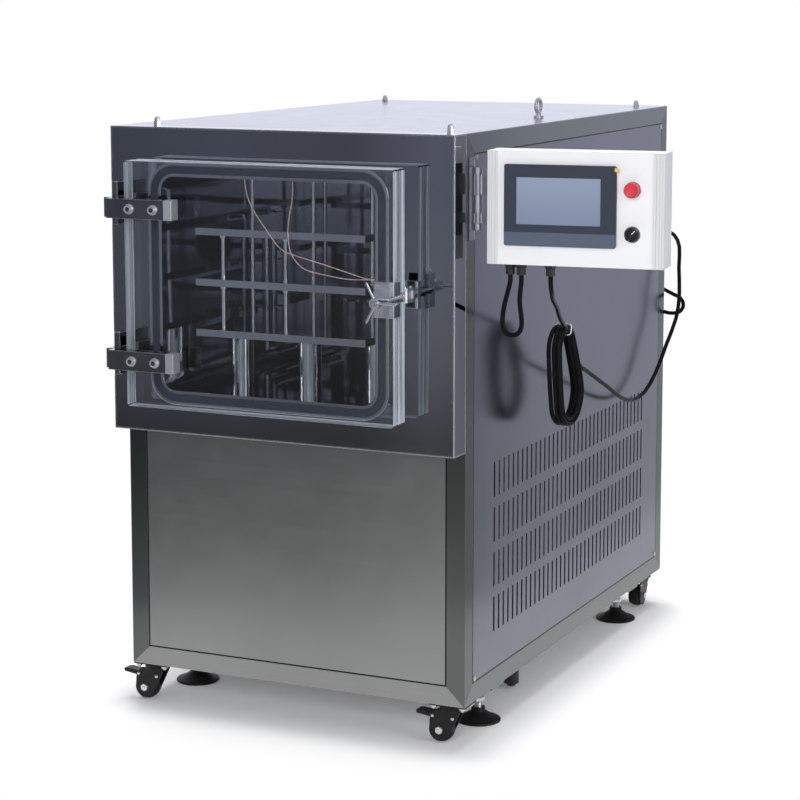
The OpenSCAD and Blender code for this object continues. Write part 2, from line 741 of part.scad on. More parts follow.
module latch_bracket() color("silver") at_cabinet() difference() {
  in = eye_half + rest_gap;
  union() {
    block([latch_x - 14, face_y - latch_base, latch_z - 26], [latch_x + 24, face_y, latch_z + 26]);
    for (z = [latch_z - in - latch_ear_t, latch_z + in]) {
      block([latch_x - 10, bolt_y, z], [latch_x + 10, face_y - latch_base, z + latch_ear_t]);
      rod_z([latch_x, bolt_y, z], 10, latch_ear_t);
    }
  }
  rod_z([latch_x, bolt_y, latch_z - in - latch_ear_t - eps], latch_pin_r + run_gap,
    2 * (in + latch_ear_t + eps));
}

// ---------------------------------------------------------------- door

module door() color("lightcyan", 0.4) at_cabinet() difference() {
  translate([door_x0 + door_w / 2 - ch_x, 0, 0]) bar_y(door_w, door_h, door_r, door_front, door_back);
  block([latch_x - bolt_r - notch_gap, door_front - eps, latch_z - notch_half],
    [door_x1 + eps, door_back + eps, latch_z + notch_half]);
  bar_screw_holes(0);
  strike_screw_holes(0);
}

module bar_screw_holes(extra) for (z = bar_zs, x = bar_screws)
  rod_y([bar_x0 + x, door_front - bar_t - eps, z], bar_screw_r + extra, bar_t + bar_screw_in + eps);
module strike_screw_holes(extra) for (z = strike_screws)
  rod_y([strike_x0 + 7, door_front - strike_t - eps, latch_z + z], strike_screw_r + extra,
    strike_t + strike_screw_in + eps);

// Slope beside the slot that the star handle rides off on as the bolt swings out.
module strike_ramp_cut() {
  face = door_front - strike_t;
  run = strike_x1 - latch_x - slot_half;
  translate([0, 0, latch_z - strike_half - eps]) linear_extrude(2 * (strike_half + eps))
    polygon([[strike_x1 - run, face], [strike_x1 - run, face - eps], [strike_x1 + eps, face - eps],
      [strike_x1 + eps, face + strike_ramp * (1 + eps / run)]]);
}

// Hinge bars with their pivot bosses, and the latch's slotted striker with its side return.
module door_fittings() color("silver") at_cabinet() {
  for (z = bar_zs) difference() {
    union() {
      block([bar_x0, door_front - bar_t, z - bar_h / 2], [bar_x0 + bar_l, door_front, z + bar_h / 2]);
      block([hinge_x - boss_half, door_front, z - bar_h / 2],
        [door_x0 - rest_gap, hinge_y + boss_half, z + bar_h / 2]);
      block([hinge_x - boss_half, door_front - boss_lap, z - bar_h / 2],
        [bar_x0, door_front, z + bar_h / 2]);
    }
    rod_z([hinge_x, hinge_y, z - bar_h / 2 - eps], pin_r + run_gap, bar_h + 2 * eps);
    bar_screw_holes(0);
  }
  difference() {
    union() {
      block([strike_x0, door_front - strike_t, latch_z - strike_half],
        [strike_x1, door_front, latch_z + strike_half]);
      block([door_x1, door_front, latch_z - strike_half],
        [strike_x1, door_front + strike_t, latch_z + strike_half]);
    }
    block([latch_x - bolt_r - slot_gap, door_front - strike_t - eps, latch_z - slot_half],
      [strike_x1 + eps, door_front + strike_t + eps, latch_z + slot_half]);
    strike_ramp_cut();
    strike_screw_holes(0);
  }
}

module socket_screw(p, r, l, head_r, head_l) {
  rod_y(p, r, l);
  difference() {
    rod_y(p - [0, head_l, 0], head_r, head_l);
    hex_y(p - [0, head_l + eps, 0], head_r * 0.55, head_l * 0.6 + eps);
  }
}

module door_screws() color("gainsboro") at_cabinet() {
  for (z = bar_zs, x = bar_screws) {
    p = [bar_x0 + x, door_front - bar_t, z];
    socket_screw(p - [0, 2, 0], bar_screw_r, bar_t + bar_screw_in + 2, 8, 6);
    difference() {
      rod_y(p - [0, 2, 0], 10, 2);
      rod_y(p - [0, 2 + eps, 0], bar_screw_r, 2 + 2 * eps);
    }
  }
  for (z = strike_screws)
    socket_screw([strike_x0 + 7, door_front - strike_t, latch_z + z], strike_screw_r,
      strike_t + strike_screw_in, 5, 3);
}

module swing_bolt() color("silver") at_cabinet() difference() {
  union() {
    rod_z([latch_x, bolt_y, latch_z - eye_half], eye_r, 2 * eye_half);
    rod_y([latch_x, bolt_y - bolt_l, latch_z], bolt_r, bolt_l);
  }
  rod_z([latch_x, bolt_y, latch_z - eye_half - eps], latch_pin_r + run_gap, 2 * (eye_half + eps));
}

// Three-armed nut that runs on the swing bolt.
module star_handle() color("gainsboro") at_cabinet() translate([latch_x, hub_y, latch_z])
  difference() {
    union() {
      rod_y([0, -3, 0], 11, 3);
      rod_y([0, -hub_l, 0], 7.5, hub_l);
      rod_y([0, -hub_l + 2, 0], hub_r, 13);
      for (a = arm_angles) translate([0, -hub_l + 8.5, 0]) rotate([0, -a, 0]) {
        rod_x([7, 0, 0], arm_rod_r, arm_l - 7 - arm_rod_r);
        translate([arm_l - arm_rod_r, 0, 0]) sphere(arm_rod_r);
      }
    }
    rod_y([0, -hub_l - eps, 0], bolt_r + run_gap, hub_l + 2 * eps);
  }

// ---------------------------------------------------------------- control box

module panel_hinge_leaf() color("silver") at_cabinet() {
  axis = [box_hinge_x, box_hinge_y, box_z];
  for (k = knuckles) difference() {
    union() {
      rod_z(axis + [0, 0, k[0]], knuckle_r, k[1] - k[0]);
      block([cab_w, box_hinge_y - knuckle_r, box_z + k[0]], [box_hinge_x, box_hinge_y, box_z + k[1]]);
    }
    rod_z(axis + [0, 0, k[0] - eps], arm_pin_r + run_gap, k[1] - k[0] + 2 * eps);
  }
  block([cab_w, leaf_y0, box_z + leaf_low], [cab_w + leaf_t, box_hinge_y, box_z + leaf_high]);
}

module panel_hinge_arm() color("silver") at_box() difference() {
  union() {
    for (k = arm_knuckles) {
      rod_z([0, 0, k[0]], arm_r, k[1] - k[0]);
      block([0, -1.5, k[0]], [box_gap - 3, 1.5, k[1]]);
    }
    block([box_gap - 3, -30, -60], [box_gap, 20, 75]);
  }
  rod_z([0, 0, arm_knuckles[0][0] - eps], arm_pin_r + run_gap, 100);
}

module panel_case() color("whitesmoke") at_box() difference() {
  block([box_gap, -box_front, -box_h / 2], [box_x1, box_back, box_h / 2]);
  block([box_gap + box_wall, box_face, -box_h / 2 + box_wall],
    [box_x1 - box_wall, box_back - box_wall, box_h / 2 - box_wall]);
  block([rail_x0, -box_front - eps, -box_h / 2 - eps],
    [rail_x1, box_face + box_wall, box_h / 2 + eps]);
  for (g = panel_gland_spots) rod_z([g[0], g[1], -box_h / 2 - eps], gland_thread_r + 0.2, 4);
}

module panel_front() color("white") at_box() difference() {
  block([rail_x0, box_face, -box_h / 2], [rail_x1, box_face + box_wall, box_h / 2]);
  block([hmi_x - hmi_w / 2 + hmi_lap, box_face - eps, hmi_z - hmi_h / 2 + hmi_lap],
    [hmi_x + hmi_w / 2 - hmi_lap, box_face + box_wall + eps, hmi_z + hmi_h / 2 - hmi_lap]);
  for (z = [button_z, knob_z])
    rod_y([button_x, box_face - eps, z], bezel_barrel_r + 0.2, box_wall + 2 * eps);
}

// Touch panel: a bezel on the front plate, with its body through the cut-out.
module touch_panel() color("midnightblue") at_box() translate([hmi_x, box_face, hmi_z]) difference() {
  union() {
    rotate([90, 0, 0]) linear_extrude(hmi_t) rrect(hmi_w, hmi_h, 4);
    block([hmi_lap + 0.5 - hmi_w / 2, 0, hmi_lap + 0.5 - hmi_h / 2],
      [hmi_w / 2 - hmi_lap - 0.5, hmi_body_d, hmi_h / 2 - hmi_lap - 0.5]);
  }
  block([screen_x - screen_w / 2, -hmi_t - eps, screen_z - screen_h / 2],
    [screen_x + screen_w / 2, -hmi_t + 1, screen_z + screen_h / 2]);
}

// Collars of the button and the selector, each with its nut behind the plate.
module control_bezels() color("gray") at_box() for (z = [button_z, knob_z])
  translate([button_x, box_face, z]) difference() {
    union() {
      rod_y([0, -bezel_t, 0], bezel_r, bezel_t);
      rod_y([0, 0, 0], bezel_barrel_r, box_wall + 12);
      hex_y([0, box_wall, 0], bezel_r, 5);
    }
    rod_y([0, -bezel_t - eps, 0], stem_hole_r, bezel_t + box_wall + 13);
  }

module panel_glands() color("black") at_box() for (g = panel_gland_spots)
  translate([g[0], g[1], -box_h / 2]) {
    rod_z([0, 0, -1], gland_thread_r, box_wall + 7);
    hex_z([0, 0, -8], 11, 8);
    rod_z([0, 0, -gland_l], 8.5, gland_l - 8);
    hex_z([0, 0, box_wall], 9, 4);
  }

module stop_button() color("red") at_box() translate([button_x, box_face - bezel_t, button_z]) {
  rod_y([0, -button_gap, 0], stem_hole_r - run_gap, button_gap + bezel_t + box_wall + 8);
  rod_y([0, -button_gap - button_t, 0], button_r, button_t);
}

module selector_knob() color("black") at_box() translate([button_x, box_face - bezel_t, knob_z]) {
  rod_y([0, -rest_gap, 0], stem_hole_r - run_gap, rest_gap + bezel_t + box_wall + 8);
  rod_y([0, -knob_t - rest_gap, 0], knob_r, knob_t);
  translate([0, -knob_t - rest_gap, 0]) rotate([0, knob_angle, 0])
    block([-4, -grip_t, -knob_r + 0.5], [4, 0, knob_r - 0.5]);
}
// ---------------------------------------------------------------- machinery

module cold_trap() color("silver") at_cabinet() difference() {
  union() {
    rod_y([ch_x, trap_y0, ch_z], trap_r, trap_l);
    rod_y([ch_x, ch_end + ch_back, ch_z], vapour_r + trap_wall, trap_gap + eps);
    rod_y([ch_x, trap_y1 - eps, ch_z], port_r + 2, cab_d + port_out - trap_y1 + eps);
    rod_y([ch_x, cab_d + port_out - 8, ch_z], port_r + 7, 8);
    for (y = [trap_y0 + 40, trap_y1 - 70])
      block([ch_x - 80, y, rail_top], [ch_x + 80, y + rail_h, ch_z - trap_r + 30]);
    for (y = trap_ports) rod_z([ch_x, y, ch_z - trap_r - 12], 12, 20);
  }
  rod_y([ch_x, trap_y0 + trap_jacket, ch_z], trap_r - trap_jacket, trap_l - 2 * trap_jacket);
  rod_y([ch_x, ch_end, ch_z], vapour_r, trap_gap + trap_jacket + ch_back + eps);
  rod_y([ch_x, trap_y1 - trap_jacket - eps, ch_z], port_r,
    cab_d + port_out - trap_y1 + trap_jacket + 2 * eps);
}

// Refrigerant lines between compressor, condenser and cold trap, and the drain under the tray.
module pipework() color("peru") at_cabinet() {
  trap_low = ch_z - trap_r - 12;
  cond_x = cond_x0 + cond_t / 2;
  pipe([[comp_x + comp_r, comp_y, pipe_z], [cond_x, comp_y, pipe_z], [cond_x, cond_y0, pipe_z]],
    line_r);
  pipe([[cond_x, cond_y1 - 60, cond_z1], [cond_x, cond_y1 - 60, line_z],
    [ch_x, cond_y1 - 60, line_z], [ch_x, trap_ports[0], line_z], [ch_x, trap_ports[0], trap_low]], line_r);
  pipe([[ch_x, trap_ports[1], trap_low], [ch_x, trap_ports[1], line_z - 50], [ch_x, comp_y, line_z - 50],
    [comp_x, comp_y, line_z - 50], [comp_x, comp_y, comp_top]], line_r);
  rod_z([drain_x, drain_y, deck_z], drain_r + 6, 4);
  rod_z([drain_x, drain_y, drain_low], drain_r, deck_z - drain_low);
  rod_z([drain_x, drain_y, drain_low + 6], drain_body_r, drain_body_l);
}

module compressor() color("black") at_cabinet() translate([comp_x, comp_y, deck_z]) {
  for (a = [30, 150, 270]) rotate([0, 0, a]) translate([comp_r - 15, 0, 0]) cylinder(r = 14, h = 16);
  translate([0, 0, 15]) {
    cylinder(r = comp_r, h = comp_h);
    translate([0, 0, comp_h]) cylinder(r1 = comp_r, r2 = comp_r * 0.6, h = 20);
  }
}

// Condenser with its fan shroud and the motor that carries the fan.
module condenser() color("silver") at_cabinet() {
  x0 = cond_x0 - shroud_t;
  difference() {
    union() {
      block([cond_x0, cond_y0, cond_low], [cond_x0 + cond_t, cond_y1, cond_z1]);
      block([x0, cond_y0, cond_low], [cond_x0, cond_y1, cond_z1]);
      for (y = [cond_y0 + 20, cond_y1 - 60])
        block([x0, y, deck_z], [cond_x0 + cond_t, y + 40, cond_low]);
    }
    block([x0 + 2, cond_y0 + 2, cond_low + 2], [cond_x0, cond_y1 - 2, cond_z1 - 2]);
    rod_x([x0 - eps, fan_y, fan_z], fan_r + 10, 3);
  }
  block([x0 - 4, cond_y0, fan_z - 8], [x0, cond_y1, fan_z + 8]);
  block([x0 - 4, fan_y - 8, cond_low], [x0, fan_y + 8, cond_z1]);
  rod_x([x0 - 60, fan_y, fan_z], motor_r, 60);
  rod_x([x0 - eps, fan_y, fan_z], shaft_r, shroud_t - 10);
}

module fan() color("black") at_cabinet() translate([cond_x0 - shroud_t + 6, fan_y, fan_z])
  difference() {
    union() {
      rod_x([0, 0, 0], 26, 22);
      intersection() {
        for (k = [0 : 4]) rotate([72 * k, 0, 0]) translate([11, 0, 20]) rotate([0, 0, 65])
          translate([-35, -1.5, 0]) cube([70, 3, fan_r]);
        rod_x([-30, 0, 0], fan_r, 80);
      }
    }
    rod_x([-eps - 30, 0, 0], shaft_r + run_gap, 80);
  }

module oil_tank() color("silver") at_cabinet() {
  rod_z([tank_x, tank_y, deck_z], tank_r, tank_h);
  rod_z([tank_x + 40, tank_y + 35, deck_z + tank_h], 32, 85);
  rod_z([tank_x + 40, tank_y + 35, deck_z + tank_h + 85], 22, 12);
}

module electrical_plate() color("gray") at_cabinet() {
  y = cab_d - 75;
  block([elec_x[0], y, elec_z[0]], [elec_x[1], y + 3, elec_z[1]]);
  for (x = [elec_x[0], elec_x[1] - 25]) block([x, y, deck_z], [x + 25, y + 3, elec_z[0]]);
  for (x = [elec_x[0], elec_x[1] - 25]) block([x, y - 40, deck_z], [x + 25, y, deck_z + 3]);
  for (k = [0 : 4]) translate([elec_x[0] + 20 + k * 54, y + 3, elec_z[1] - 130]) cube([42, 45, 90]);
  block([elec_x[0] + 20, y + 3, elec_z[0] + 110], [elec_x[1] - 20, y + 33, elec_z[0] + 150]);
  block([elec_x[0] + 20, y + 3, elec_z[0] + 20], [elec_x[1] - 120, y + 53, elec_z[0] + 85]);
}

// ---------------------------------------------------------------- cables

module sensor_cable() color("black") at_cabinet() sweep(smooth(SENSOR_CABLE, 1), cable_d / 2, 10);
module panel_cable() color("black") at_cabinet() {
  sweep(smooth(PANEL_DROP, 2), cable_d / 2, 10);
  sweep(smooth(PANEL_LOOP, 3), cable_d / 2, 10);
}
module panel_cable_hank() color("black") at_cabinet() translate(HANK_AT) rotate([HANK_TILT, 0, 0])
  rotate([90, 0, 90]) translate([0, 0, -HANK_T / 2]) linear_extrude(HANK_T) {
    half = (HANK_H - HANK_W) / 2;
    square([HANK_W, 2 * half], center = true);
    for (y = [-half, half]) translate([0, y]) circle(HANK_W / 2);
  }
module rear_cable() color("black") at_cabinet() sweep(smooth(REAR_CABLE, 1), cable_d / 2, 10);

// ---------------------------------------------------------------- casters and feet

// Caster in its own coordinates: the swivel axis is at 0, 0 and the wheel trails towards -X.
module at_caster(k) at_cabinet() translate(corner(ends[k], caster_x, caster_y))
  rotate([0, 0, caster_turns[k]]) children();

module cheek_outline() {
  polygon([[-28, fork_z0 + 2], [23, fork_z0 + 2],
    [cheek_r * cos(35) - caster_trail, axle_z - cheek_r * sin(35)],
    [-cheek_r - caster_trail, axle_z], [pedal_x - 5, pedal_z]]);
  translate([-caster_trail, axle_z]) circle(cheek_r);
  translate([pedal_x, pedal_z]) circle(6);
}

module caster_fork(k) color("black") at_caster(k) {
  difference() {
    union() {
      rod_z([0, 0, fork_z0], 24, fork_top - fork_z0);
      for (y = [-cheek_in - cheek_t, cheek_in]) translate([0, y + cheek_t, 0])
        rotate([90, 0, 0]) linear_extrude(cheek_t) cheek_outline();
    }
    rod_z([0, 0, fork_z0 - eps], king_r + run_gap, 20);
    rod_y([-caster_trail, -20, axle_z], axle_r + run_gap, 40);
    rod_y([pedal_x, -20, pedal_z], pedal_pin_r + run_gap, 40);
  }
  y = cheek_in + cheek_t;
  rod_y([-caster_trail, -y, axle_z], axle_r, 2 * y);
  rod_y([-caster_trail, -y - 4, axle_z], 7, 4);
  hex_y([-caster_trail, y, axle_z], 7, 5);
}

module caster_wheel(k) color("dimgray") at_caster(k) difference() {
  rod_y([-caster_trail, -wheel_w / 2, axle_z], wheel_r, wheel_w);
  rod_y([-caster_trail, -wheel_w / 2 - eps, axle_z], axle_r + run_gap, wheel_w + 2 * eps);
}

// Brake pedal: pivots between the cheeks and reaches out behind the wheel.
module brake_pedal(k) color("black") at_caster(k) {
  rod_y([pedal_x, -cheek_in - cheek_t, pedal_z], pedal_pin_r, 2 * (cheek_in + cheek_t));
  rod_y([pedal_x, rest_gap - cheek_in, pedal_z], 4.5, 2 * (cheek_in - rest_gap));
  translate([pedal_x, 0, pedal_z]) rotate([90, 0, 0])
    translate([0, 0, rest_gap - cheek_in]) linear_extrude(2 * (cheek_in - rest_gap))
      polygon([[0, 4.5], [0, -2], [-6, -4], [pedal_x0 + 1, 0], [pedal_x0, 6], [pedal_x0 + 8, 7]]);
}

// Mounting plates with their corner bolts and the king pins that the forks turn on.
module caster_plates() color("black") for (k = [0 : 3]) at_caster(k) {
  translate([-38, -28, floor_gap - plate_t]) cube([76, 56, plate_t]);
  for (x = [-30, 30], y = [-21, 21]) hex_z([x, y, floor_gap - plate_t - 4], 5.5, 4);
  rod_z([0, 0, fork_z0 - rest_gap - 3], king_r, floor_gap - plate_t - fork_z0 + rest_gap + 3);
  rod_z([0, 0, fork_z0 - rest_gap - 3], 9, 3);
}

module foot(e) color("black") at_cabinet() translate(corner(e, foot_x, foot_y)) {
  rod_z([0, 0, 0], pad_r, 4);
  translate([0, 0, 4]) cylinder(r1 = pad_r - 1, r2 = stem_r + 6, h = 16);
  rod_z([0, 0, 20], stem_r + 5, 8);
  rod_z([0, 0, 18], stem_r, 112);
}

frame();
front_panel();
left_panel();
right_panel();
rear_panel();
top_panel();
base_tray();
case_fasteners();
lifting_eye();
bonnet();
chamber();
door_gasket();
shelves();
shelf_supports();
oil_lines();
sensor_leads();
cable_glands();
hinge_brackets();
pivot_pins();
latch_bracket();
caster_plates();
cold_trap();
pipework();
compressor();
condenser();
oil_tank();
electrical_plate();
panel_hinge_leaf();
sensor_cable();
panel_cable();
panel_cable_hank();
rear_cable();
door();
door_fittings();
door_screws();
swing_bolt();
star_handle();
panel_case();
panel_front();
touch_panel();
control_bezels();
panel_glands();
panel_hinge_arm();
stop_button();
selector_knob();
fan();
caster_fork(0);  // caster_fork_fl
caster_fork(1);  // caster_fork_fr
caster_fork(2);  // caster_fork_rl
caster_fork(3);  // caster_fork_rr
caster_wheel(0);  // caster_wheel_fl
caster_wheel(1);  // caster_wheel_fr
caster_wheel(2);  // caster_wheel_rl
caster_wheel(3);  // caster_wheel_rr
brake_pedal(0);  // brake_pedal_fl
brake_pedal(1);  // brake_pedal_fr
foot(ends[0]);  // foot_fl
foot(ends[1]);  // foot_fr
foot(ends[2]);  // foot_rl
foot(ends[3]);  // foot_rr
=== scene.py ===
"""Looks of a laboratory freeze dryer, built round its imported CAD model.

The cabinet stands on the floor with its front to -Y. Lengths are metres in the row frame; routes
and details are written in cabinet millimetres and placed by at_cabinet() or at_box().
"""

import math

import bmesh
import bpy
import numpy as np
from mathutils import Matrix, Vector


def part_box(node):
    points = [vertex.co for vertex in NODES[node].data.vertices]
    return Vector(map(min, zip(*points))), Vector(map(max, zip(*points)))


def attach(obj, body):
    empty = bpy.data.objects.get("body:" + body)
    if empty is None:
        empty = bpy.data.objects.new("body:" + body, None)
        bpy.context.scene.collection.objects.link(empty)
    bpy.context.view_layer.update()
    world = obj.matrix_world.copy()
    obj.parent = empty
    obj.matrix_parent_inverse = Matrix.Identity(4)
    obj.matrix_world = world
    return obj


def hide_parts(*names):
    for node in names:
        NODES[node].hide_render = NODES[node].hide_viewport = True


bl_info = {
    "name": "Laboratory freeze dryer",
    "version": (1, 0, 0),
    "blender": (4, 5, 0),
    "location": "View3D > Sidebar > Freeze dryer",
    "description": "Finishes, cables, leads, controls, wheels and stage of a cabinet freeze dryer",
    "category": "Object",
}

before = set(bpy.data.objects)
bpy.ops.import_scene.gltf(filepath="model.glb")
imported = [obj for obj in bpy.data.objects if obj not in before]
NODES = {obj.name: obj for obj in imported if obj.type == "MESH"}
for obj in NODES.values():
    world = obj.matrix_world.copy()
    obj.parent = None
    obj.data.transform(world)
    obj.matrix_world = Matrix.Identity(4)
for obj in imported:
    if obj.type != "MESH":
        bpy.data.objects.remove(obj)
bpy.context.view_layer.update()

# Places that the looks share with the model, in cabinet millimetres.
FLOOR_GAP = 82.0
CAB_W, CAB_D, CAB_TOP = 735.0, 1180.0, 1179.0
CABINET = np.array(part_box("frame")[0]) * (1.0, 1.0, 0.0)
BOX_HINGE = np.array([744.0, 36.0, 1045.0])
BOX_TURN = math.radians(7.0)
BUTTON_X, BUTTON_Z, KNOB_Z = 303.0, 39.0, -42.0
BOX_FACE = -45.0
BAR_FACE = -159.0
BAR_SCREWS = [(x, z) for x in (104.0, 156.0) for z in (734.0, 1028.0)]
LATCH_X, LATCH_Z = 640.0, 881.0
HANK_AT = np.array([800.0, 350.0, 679.0])
HANK_TILT = math.radians(18.0)
# The hank's turns: their spacing, and the radius and height of their top and bottom arcs.
HANK_PITCH = 9.3
HANK_TOP_R, HANK_TOP_Z = 44.0, 58.0
HANK_LOW_R, HANK_LOW_Z = 64.0, -38.0

# Swivel axes of the casters with each one's turn in degrees, the feet's axes, and then places in a
# caster's own millimetres.
CASTERS = {"fl": (38.0, 30.0, 0), "fr": (697.0, 30.0, 0), "rl": (38.0, 1150.0, 0), "rr": (697.0, 1150.0, 90)}
FEET = {"fl": (47.0, 180.0), "fr": (688.0, 180.0), "rl": (47.0, 1000.0), "rr": (688.0, 1000.0)}
AXLE_BACK, AXLE_Z, CHEEK_FACE = 21.0, 27.0, 14.5
PLATE_UNDERSIDE = 79.2

# Camera place in cabinet millimetres, its turn and tilt in degrees, and its shift as a share of the frame.
CAMERA_AT = (2383.8, -3867.2, 1431.7)
CAMERA_YAW, CAMERA_PITCH = 24.7685, 7.625
CAMERA_SHIFT = -0.125

# Points closer than this, in metres, are one.
MERGE = 1e-7

# Cable routes from gland to gland, in cabinet millimetres.
SENSOR_ROUTE = [
    (810, 34, 918), (810, 34, 906), (806, 34, 888), (800, 34, 866), (796, 34, 846), (795, 34, 834),
    (795, 34, 822), (798, 34, 812), (805, 34, 805), (814, 34, 803), (823, 34, 805), (830, 34, 812),
    (833, 34, 822), (833, 34, 834), (831, 34, 850), (829, 34, 868), (830, 34, 886), (832, 34, 904),
    (832, 34, 918),
]
DROP_ROUTE = [
    (888, 40, 918), (888, 40, 914), (888, 40, 909), (887, 43, 900), (884, 54, 890), (878, 74, 879),
    (866, 110, 864), (848, 180, 838), (828, 250, 808), (812, 312, 776),
]
LOOP_ROUTE = [
    (798, 406, 704), (794, 440, 690), (790, 510, 662), (780, 662, 606), (772, 776, 563),
    (766, 870, 541), (766, 954, 545), (768, 1028, 580), (772, 1090, 636), (775, 1150, 690),
    (776, 1168, 744), (770, 1180, 805), (764, 1200, 850), (742, 1224, 876), (706, 1234, 887),
    (682, 1227, 890), (672, 1212, 890), (672, 1202, 890),
]
REAR_ROUTE = [
    (672, 1202, 760), (672, 1211, 760), (679, 1226, 758), (694, 1233, 753), (712, 1234, 746),
    (730, 1230, 739), (747, 1225, 733), (758, 1223, 729), (766, 1222, 721), (769, 1222, 711),
    (766, 1222, 701), (758, 1223, 693), (747, 1225, 690), (730, 1230, 689), (712, 1234, 692),
    (694, 1233, 697), (679, 1226, 702), (672, 1211, 704), (672, 1202, 704),
]
LEAD_ROUTES = [
    [(302, -42, 1087), (302, -42, 1078), (307, -42, 1052), (320, -42, 1026), (339, -42, 1000),
     (360, -42, 973), (376, -42, 956), (394, -42, 947), (430, -42, 938), (473, -42, 928),
     (520, -42, 916), (556, -42, 907), (586, -42, 905)],
    [(402, -37, 1087), (402, -37, 1076), (400, -37, 1045), (394, -37, 1016), (391, -37, 987),
     (395, -37, 953), (408, -37, 931), (430, -37, 916), (473, -37, 908), (518, -37, 903),
     (556, -37, 904), (586, -37, 905)],
]


# ------------------------------------------------------------------ places and surfaces


def at_cabinet(points):
    """Cabinet millimetres to row metres: a scale by a thousandth and a shift."""
    return np.asarray(points, float) / 1000.0 + CABINET


def at_box(points):
    """Control box millimetres, X along the box and -Y out of its face, to row metres."""
    p = np.asarray(points, float)
    c, s = math.cos(BOX_TURN), math.sin(BOX_TURN)
    turned = np.stack([c * p[..., 0] - s * p[..., 1], s * p[..., 0] + c * p[..., 1], p[..., 2]], axis=-1)
    return at_cabinet(turned + BOX_HINGE)


def standing_out(to_row, face, x, z):
    """Gives a function that stands a shape turned about Z on a face, its height pointing out to -Y."""
    return lambda p: to_row(np.column_stack([x + p[:, 0], face - p[:, 2], z + p[:, 1]]))


def moved(place, shift=(0.0, 0.0, 0.0), stretch=(1, 1, 1)):
    """Gives the placing function of a shape that is first stretched and shifted along its own axes."""
    return lambda p: place(p * stretch + shift)


def curve_through(points, steps):
    """Catmull-Rom curve: each step blends four neighbours with cubic weights and passes every point."""
    p = np.asarray(points, float)
    p = np.vstack([2 * p[0] - p[1], p, 2 * p[-1] - p[-2]])
    u = np.linspace(0.0, 1.0, steps, endpoint=False)[None, :, None]
    a, b, c, d = (p[i : len(p) - 3 + i, None, :] for i in range(4))
    q = 0.5 * (2 * b + (c - a) * u + (2 * a - 5 * b + 4 * c - d) * u**2 + (3 * b - a - 3 * c + d) * u**3)
    return np.vstack([q.reshape(-1, 3), p[-2]])


def evenly(points, step):
    """The same line with its points an equal distance apart, by linear interpolation of its length."""
    p = np.asarray(points, float)
    far = distance_along(p)
    at = np.linspace(0.0, far[-1], max(2, int(round(far[-1] / step)) + 1))
    return np.stack([np.interp(at, far, p[:, k]) for k in range(3)], axis=1)


def distance_along(points):
    """Distance of each point from the first: the running sum of the steps between neighbours."""
    return np.concatenate([[0.0], np.cumsum(np.linalg.norm(np.diff(points, axis=0), axis=1))])


def smooth_step(value):
    """Smooth step: 0 below nought, 1 over one, and 3 v^2 - 2 v^3 between them."""
    v = np.clip(value, 0, 1)
    return v * v * (3 - 2 * v)


def frames_along(path):
    """Two unit vectors square to the path at each point, carried along it without twist."""
    t = np.gradient(path, axis=0)
    t /= np.linalg.norm(t, axis=1)[:, None]
    first = np.cross(t[0], [0.0, 0.0, 1.0] if abs(t[0][2]) < 0.9 else [0.0, 1.0, 0.0])
    sides = [first / np.linalg.norm(first)]
    for k in range(1, len(t)):
        a = sides[-1] - t[k] * float(np.dot(sides[-1], t[k]))
        sides.append(a / np.linalg.norm(a))
    a = np.array(sides)
    return a, np.cross(t, a)


def mesh_piece(name, points, faces, smooth=30.0):
    """A mesh object at the origin from points and faces, smooth but for edges over an angle."""
    mesh = bpy.data.meshes.new(name)
    mesh.from_pydata(np.asarray(points).tolist(), [], faces)
    mesh.validate()
    mesh.shade_smooth()
    mesh.set_sharp_from_angle(angle=math.radians(smooth))
    piece = bpy.data.objects.new(name, mesh)
    bpy.context.scene.collection.objects.link(piece)
    return piece


def ring_faces(rings, sides, close_ends=True, start=0):
    """Quads between rings of points, and a many-sided cap at each end."""
    i, k = np.meshgrid(np.arange(rings - 1), np.arange(sides), indexing="ij")
    n = (k + 1) % sides
    quads = np.stack([i * sides + k, i * sides + n, (i + 1) * sides + n, (i + 1) * sides + k], axis=-1)
    faces = (quads.reshape(-1, 4) + start).tolist()
    if close_ends:
        faces.append([start + j for j in range(sides - 1, -1, -1)])
        faces.append([start + (rings - 1) * sides + j for j in range(sides)])
    return faces


def tube_points(path, radius, sides=20):
    """Rings of a tube: centre plus radius times cosine and sine of the angle along two side vectors."""
    a, b = frames_along(path)
    angle = np.linspace(0.0, math.tau, sides, endpoint=False)
    r = np.broadcast_to(radius, (len(path),))[:, None, None]
    ring = np.cos(angle)[None, :, None] * a[:, None, :] + np.sin(angle)[None, :, None] * b[:, None, :]
    return (path[:, None, :] + r * ring).reshape(-1, 3)


def tube(name, path, radius, sides=20):
    """A round tube carried along a path, with a map of its turn and its length in metres."""
    piece = mesh_piece(name, tube_points(path, radius, sides), ring_faces(len(path), sides), 40)
    map_along(piece, path, sides)
    return piece


def map_along(piece, path, sides):
    """Own map: U is the turn round the tube, and V is the distance along it in metres."""
    far = distance_along(path)
    mesh = piece.data
    index = np.zeros(len(mesh.loops), np.int32)
    mesh.loops.foreach_get("vertex_index", index)
    local = index % (len(path) * sides)
    u, v = (local % sides) / sides, far[local // sides]
    starts = np.zeros(len(mesh.polygons), np.int32)
    totals = np.zeros(len(mesh.polygons), np.int32)
    mesh.polygons.foreach_get("loop_start", starts)
    mesh.polygons.foreach_get("loop_total", totals)
    owner = np.repeat(np.arange(len(starts)), totals)
    # A side's last face spans the seam, where U passes 1 and goes on over it.
    high = np.zeros(len(starts))
    np.maximum.at(high, owner, u)
    u = np.where((high[owner] > 0.6) & (u < 0.3) & (totals[owner] == 4), u + 1.0, u)
    layer = mesh.uv_layers.new(name="along")
    layer.data.foreach_set("uv", np.stack([u, v], axis=1).astype(np.float32).ravel())


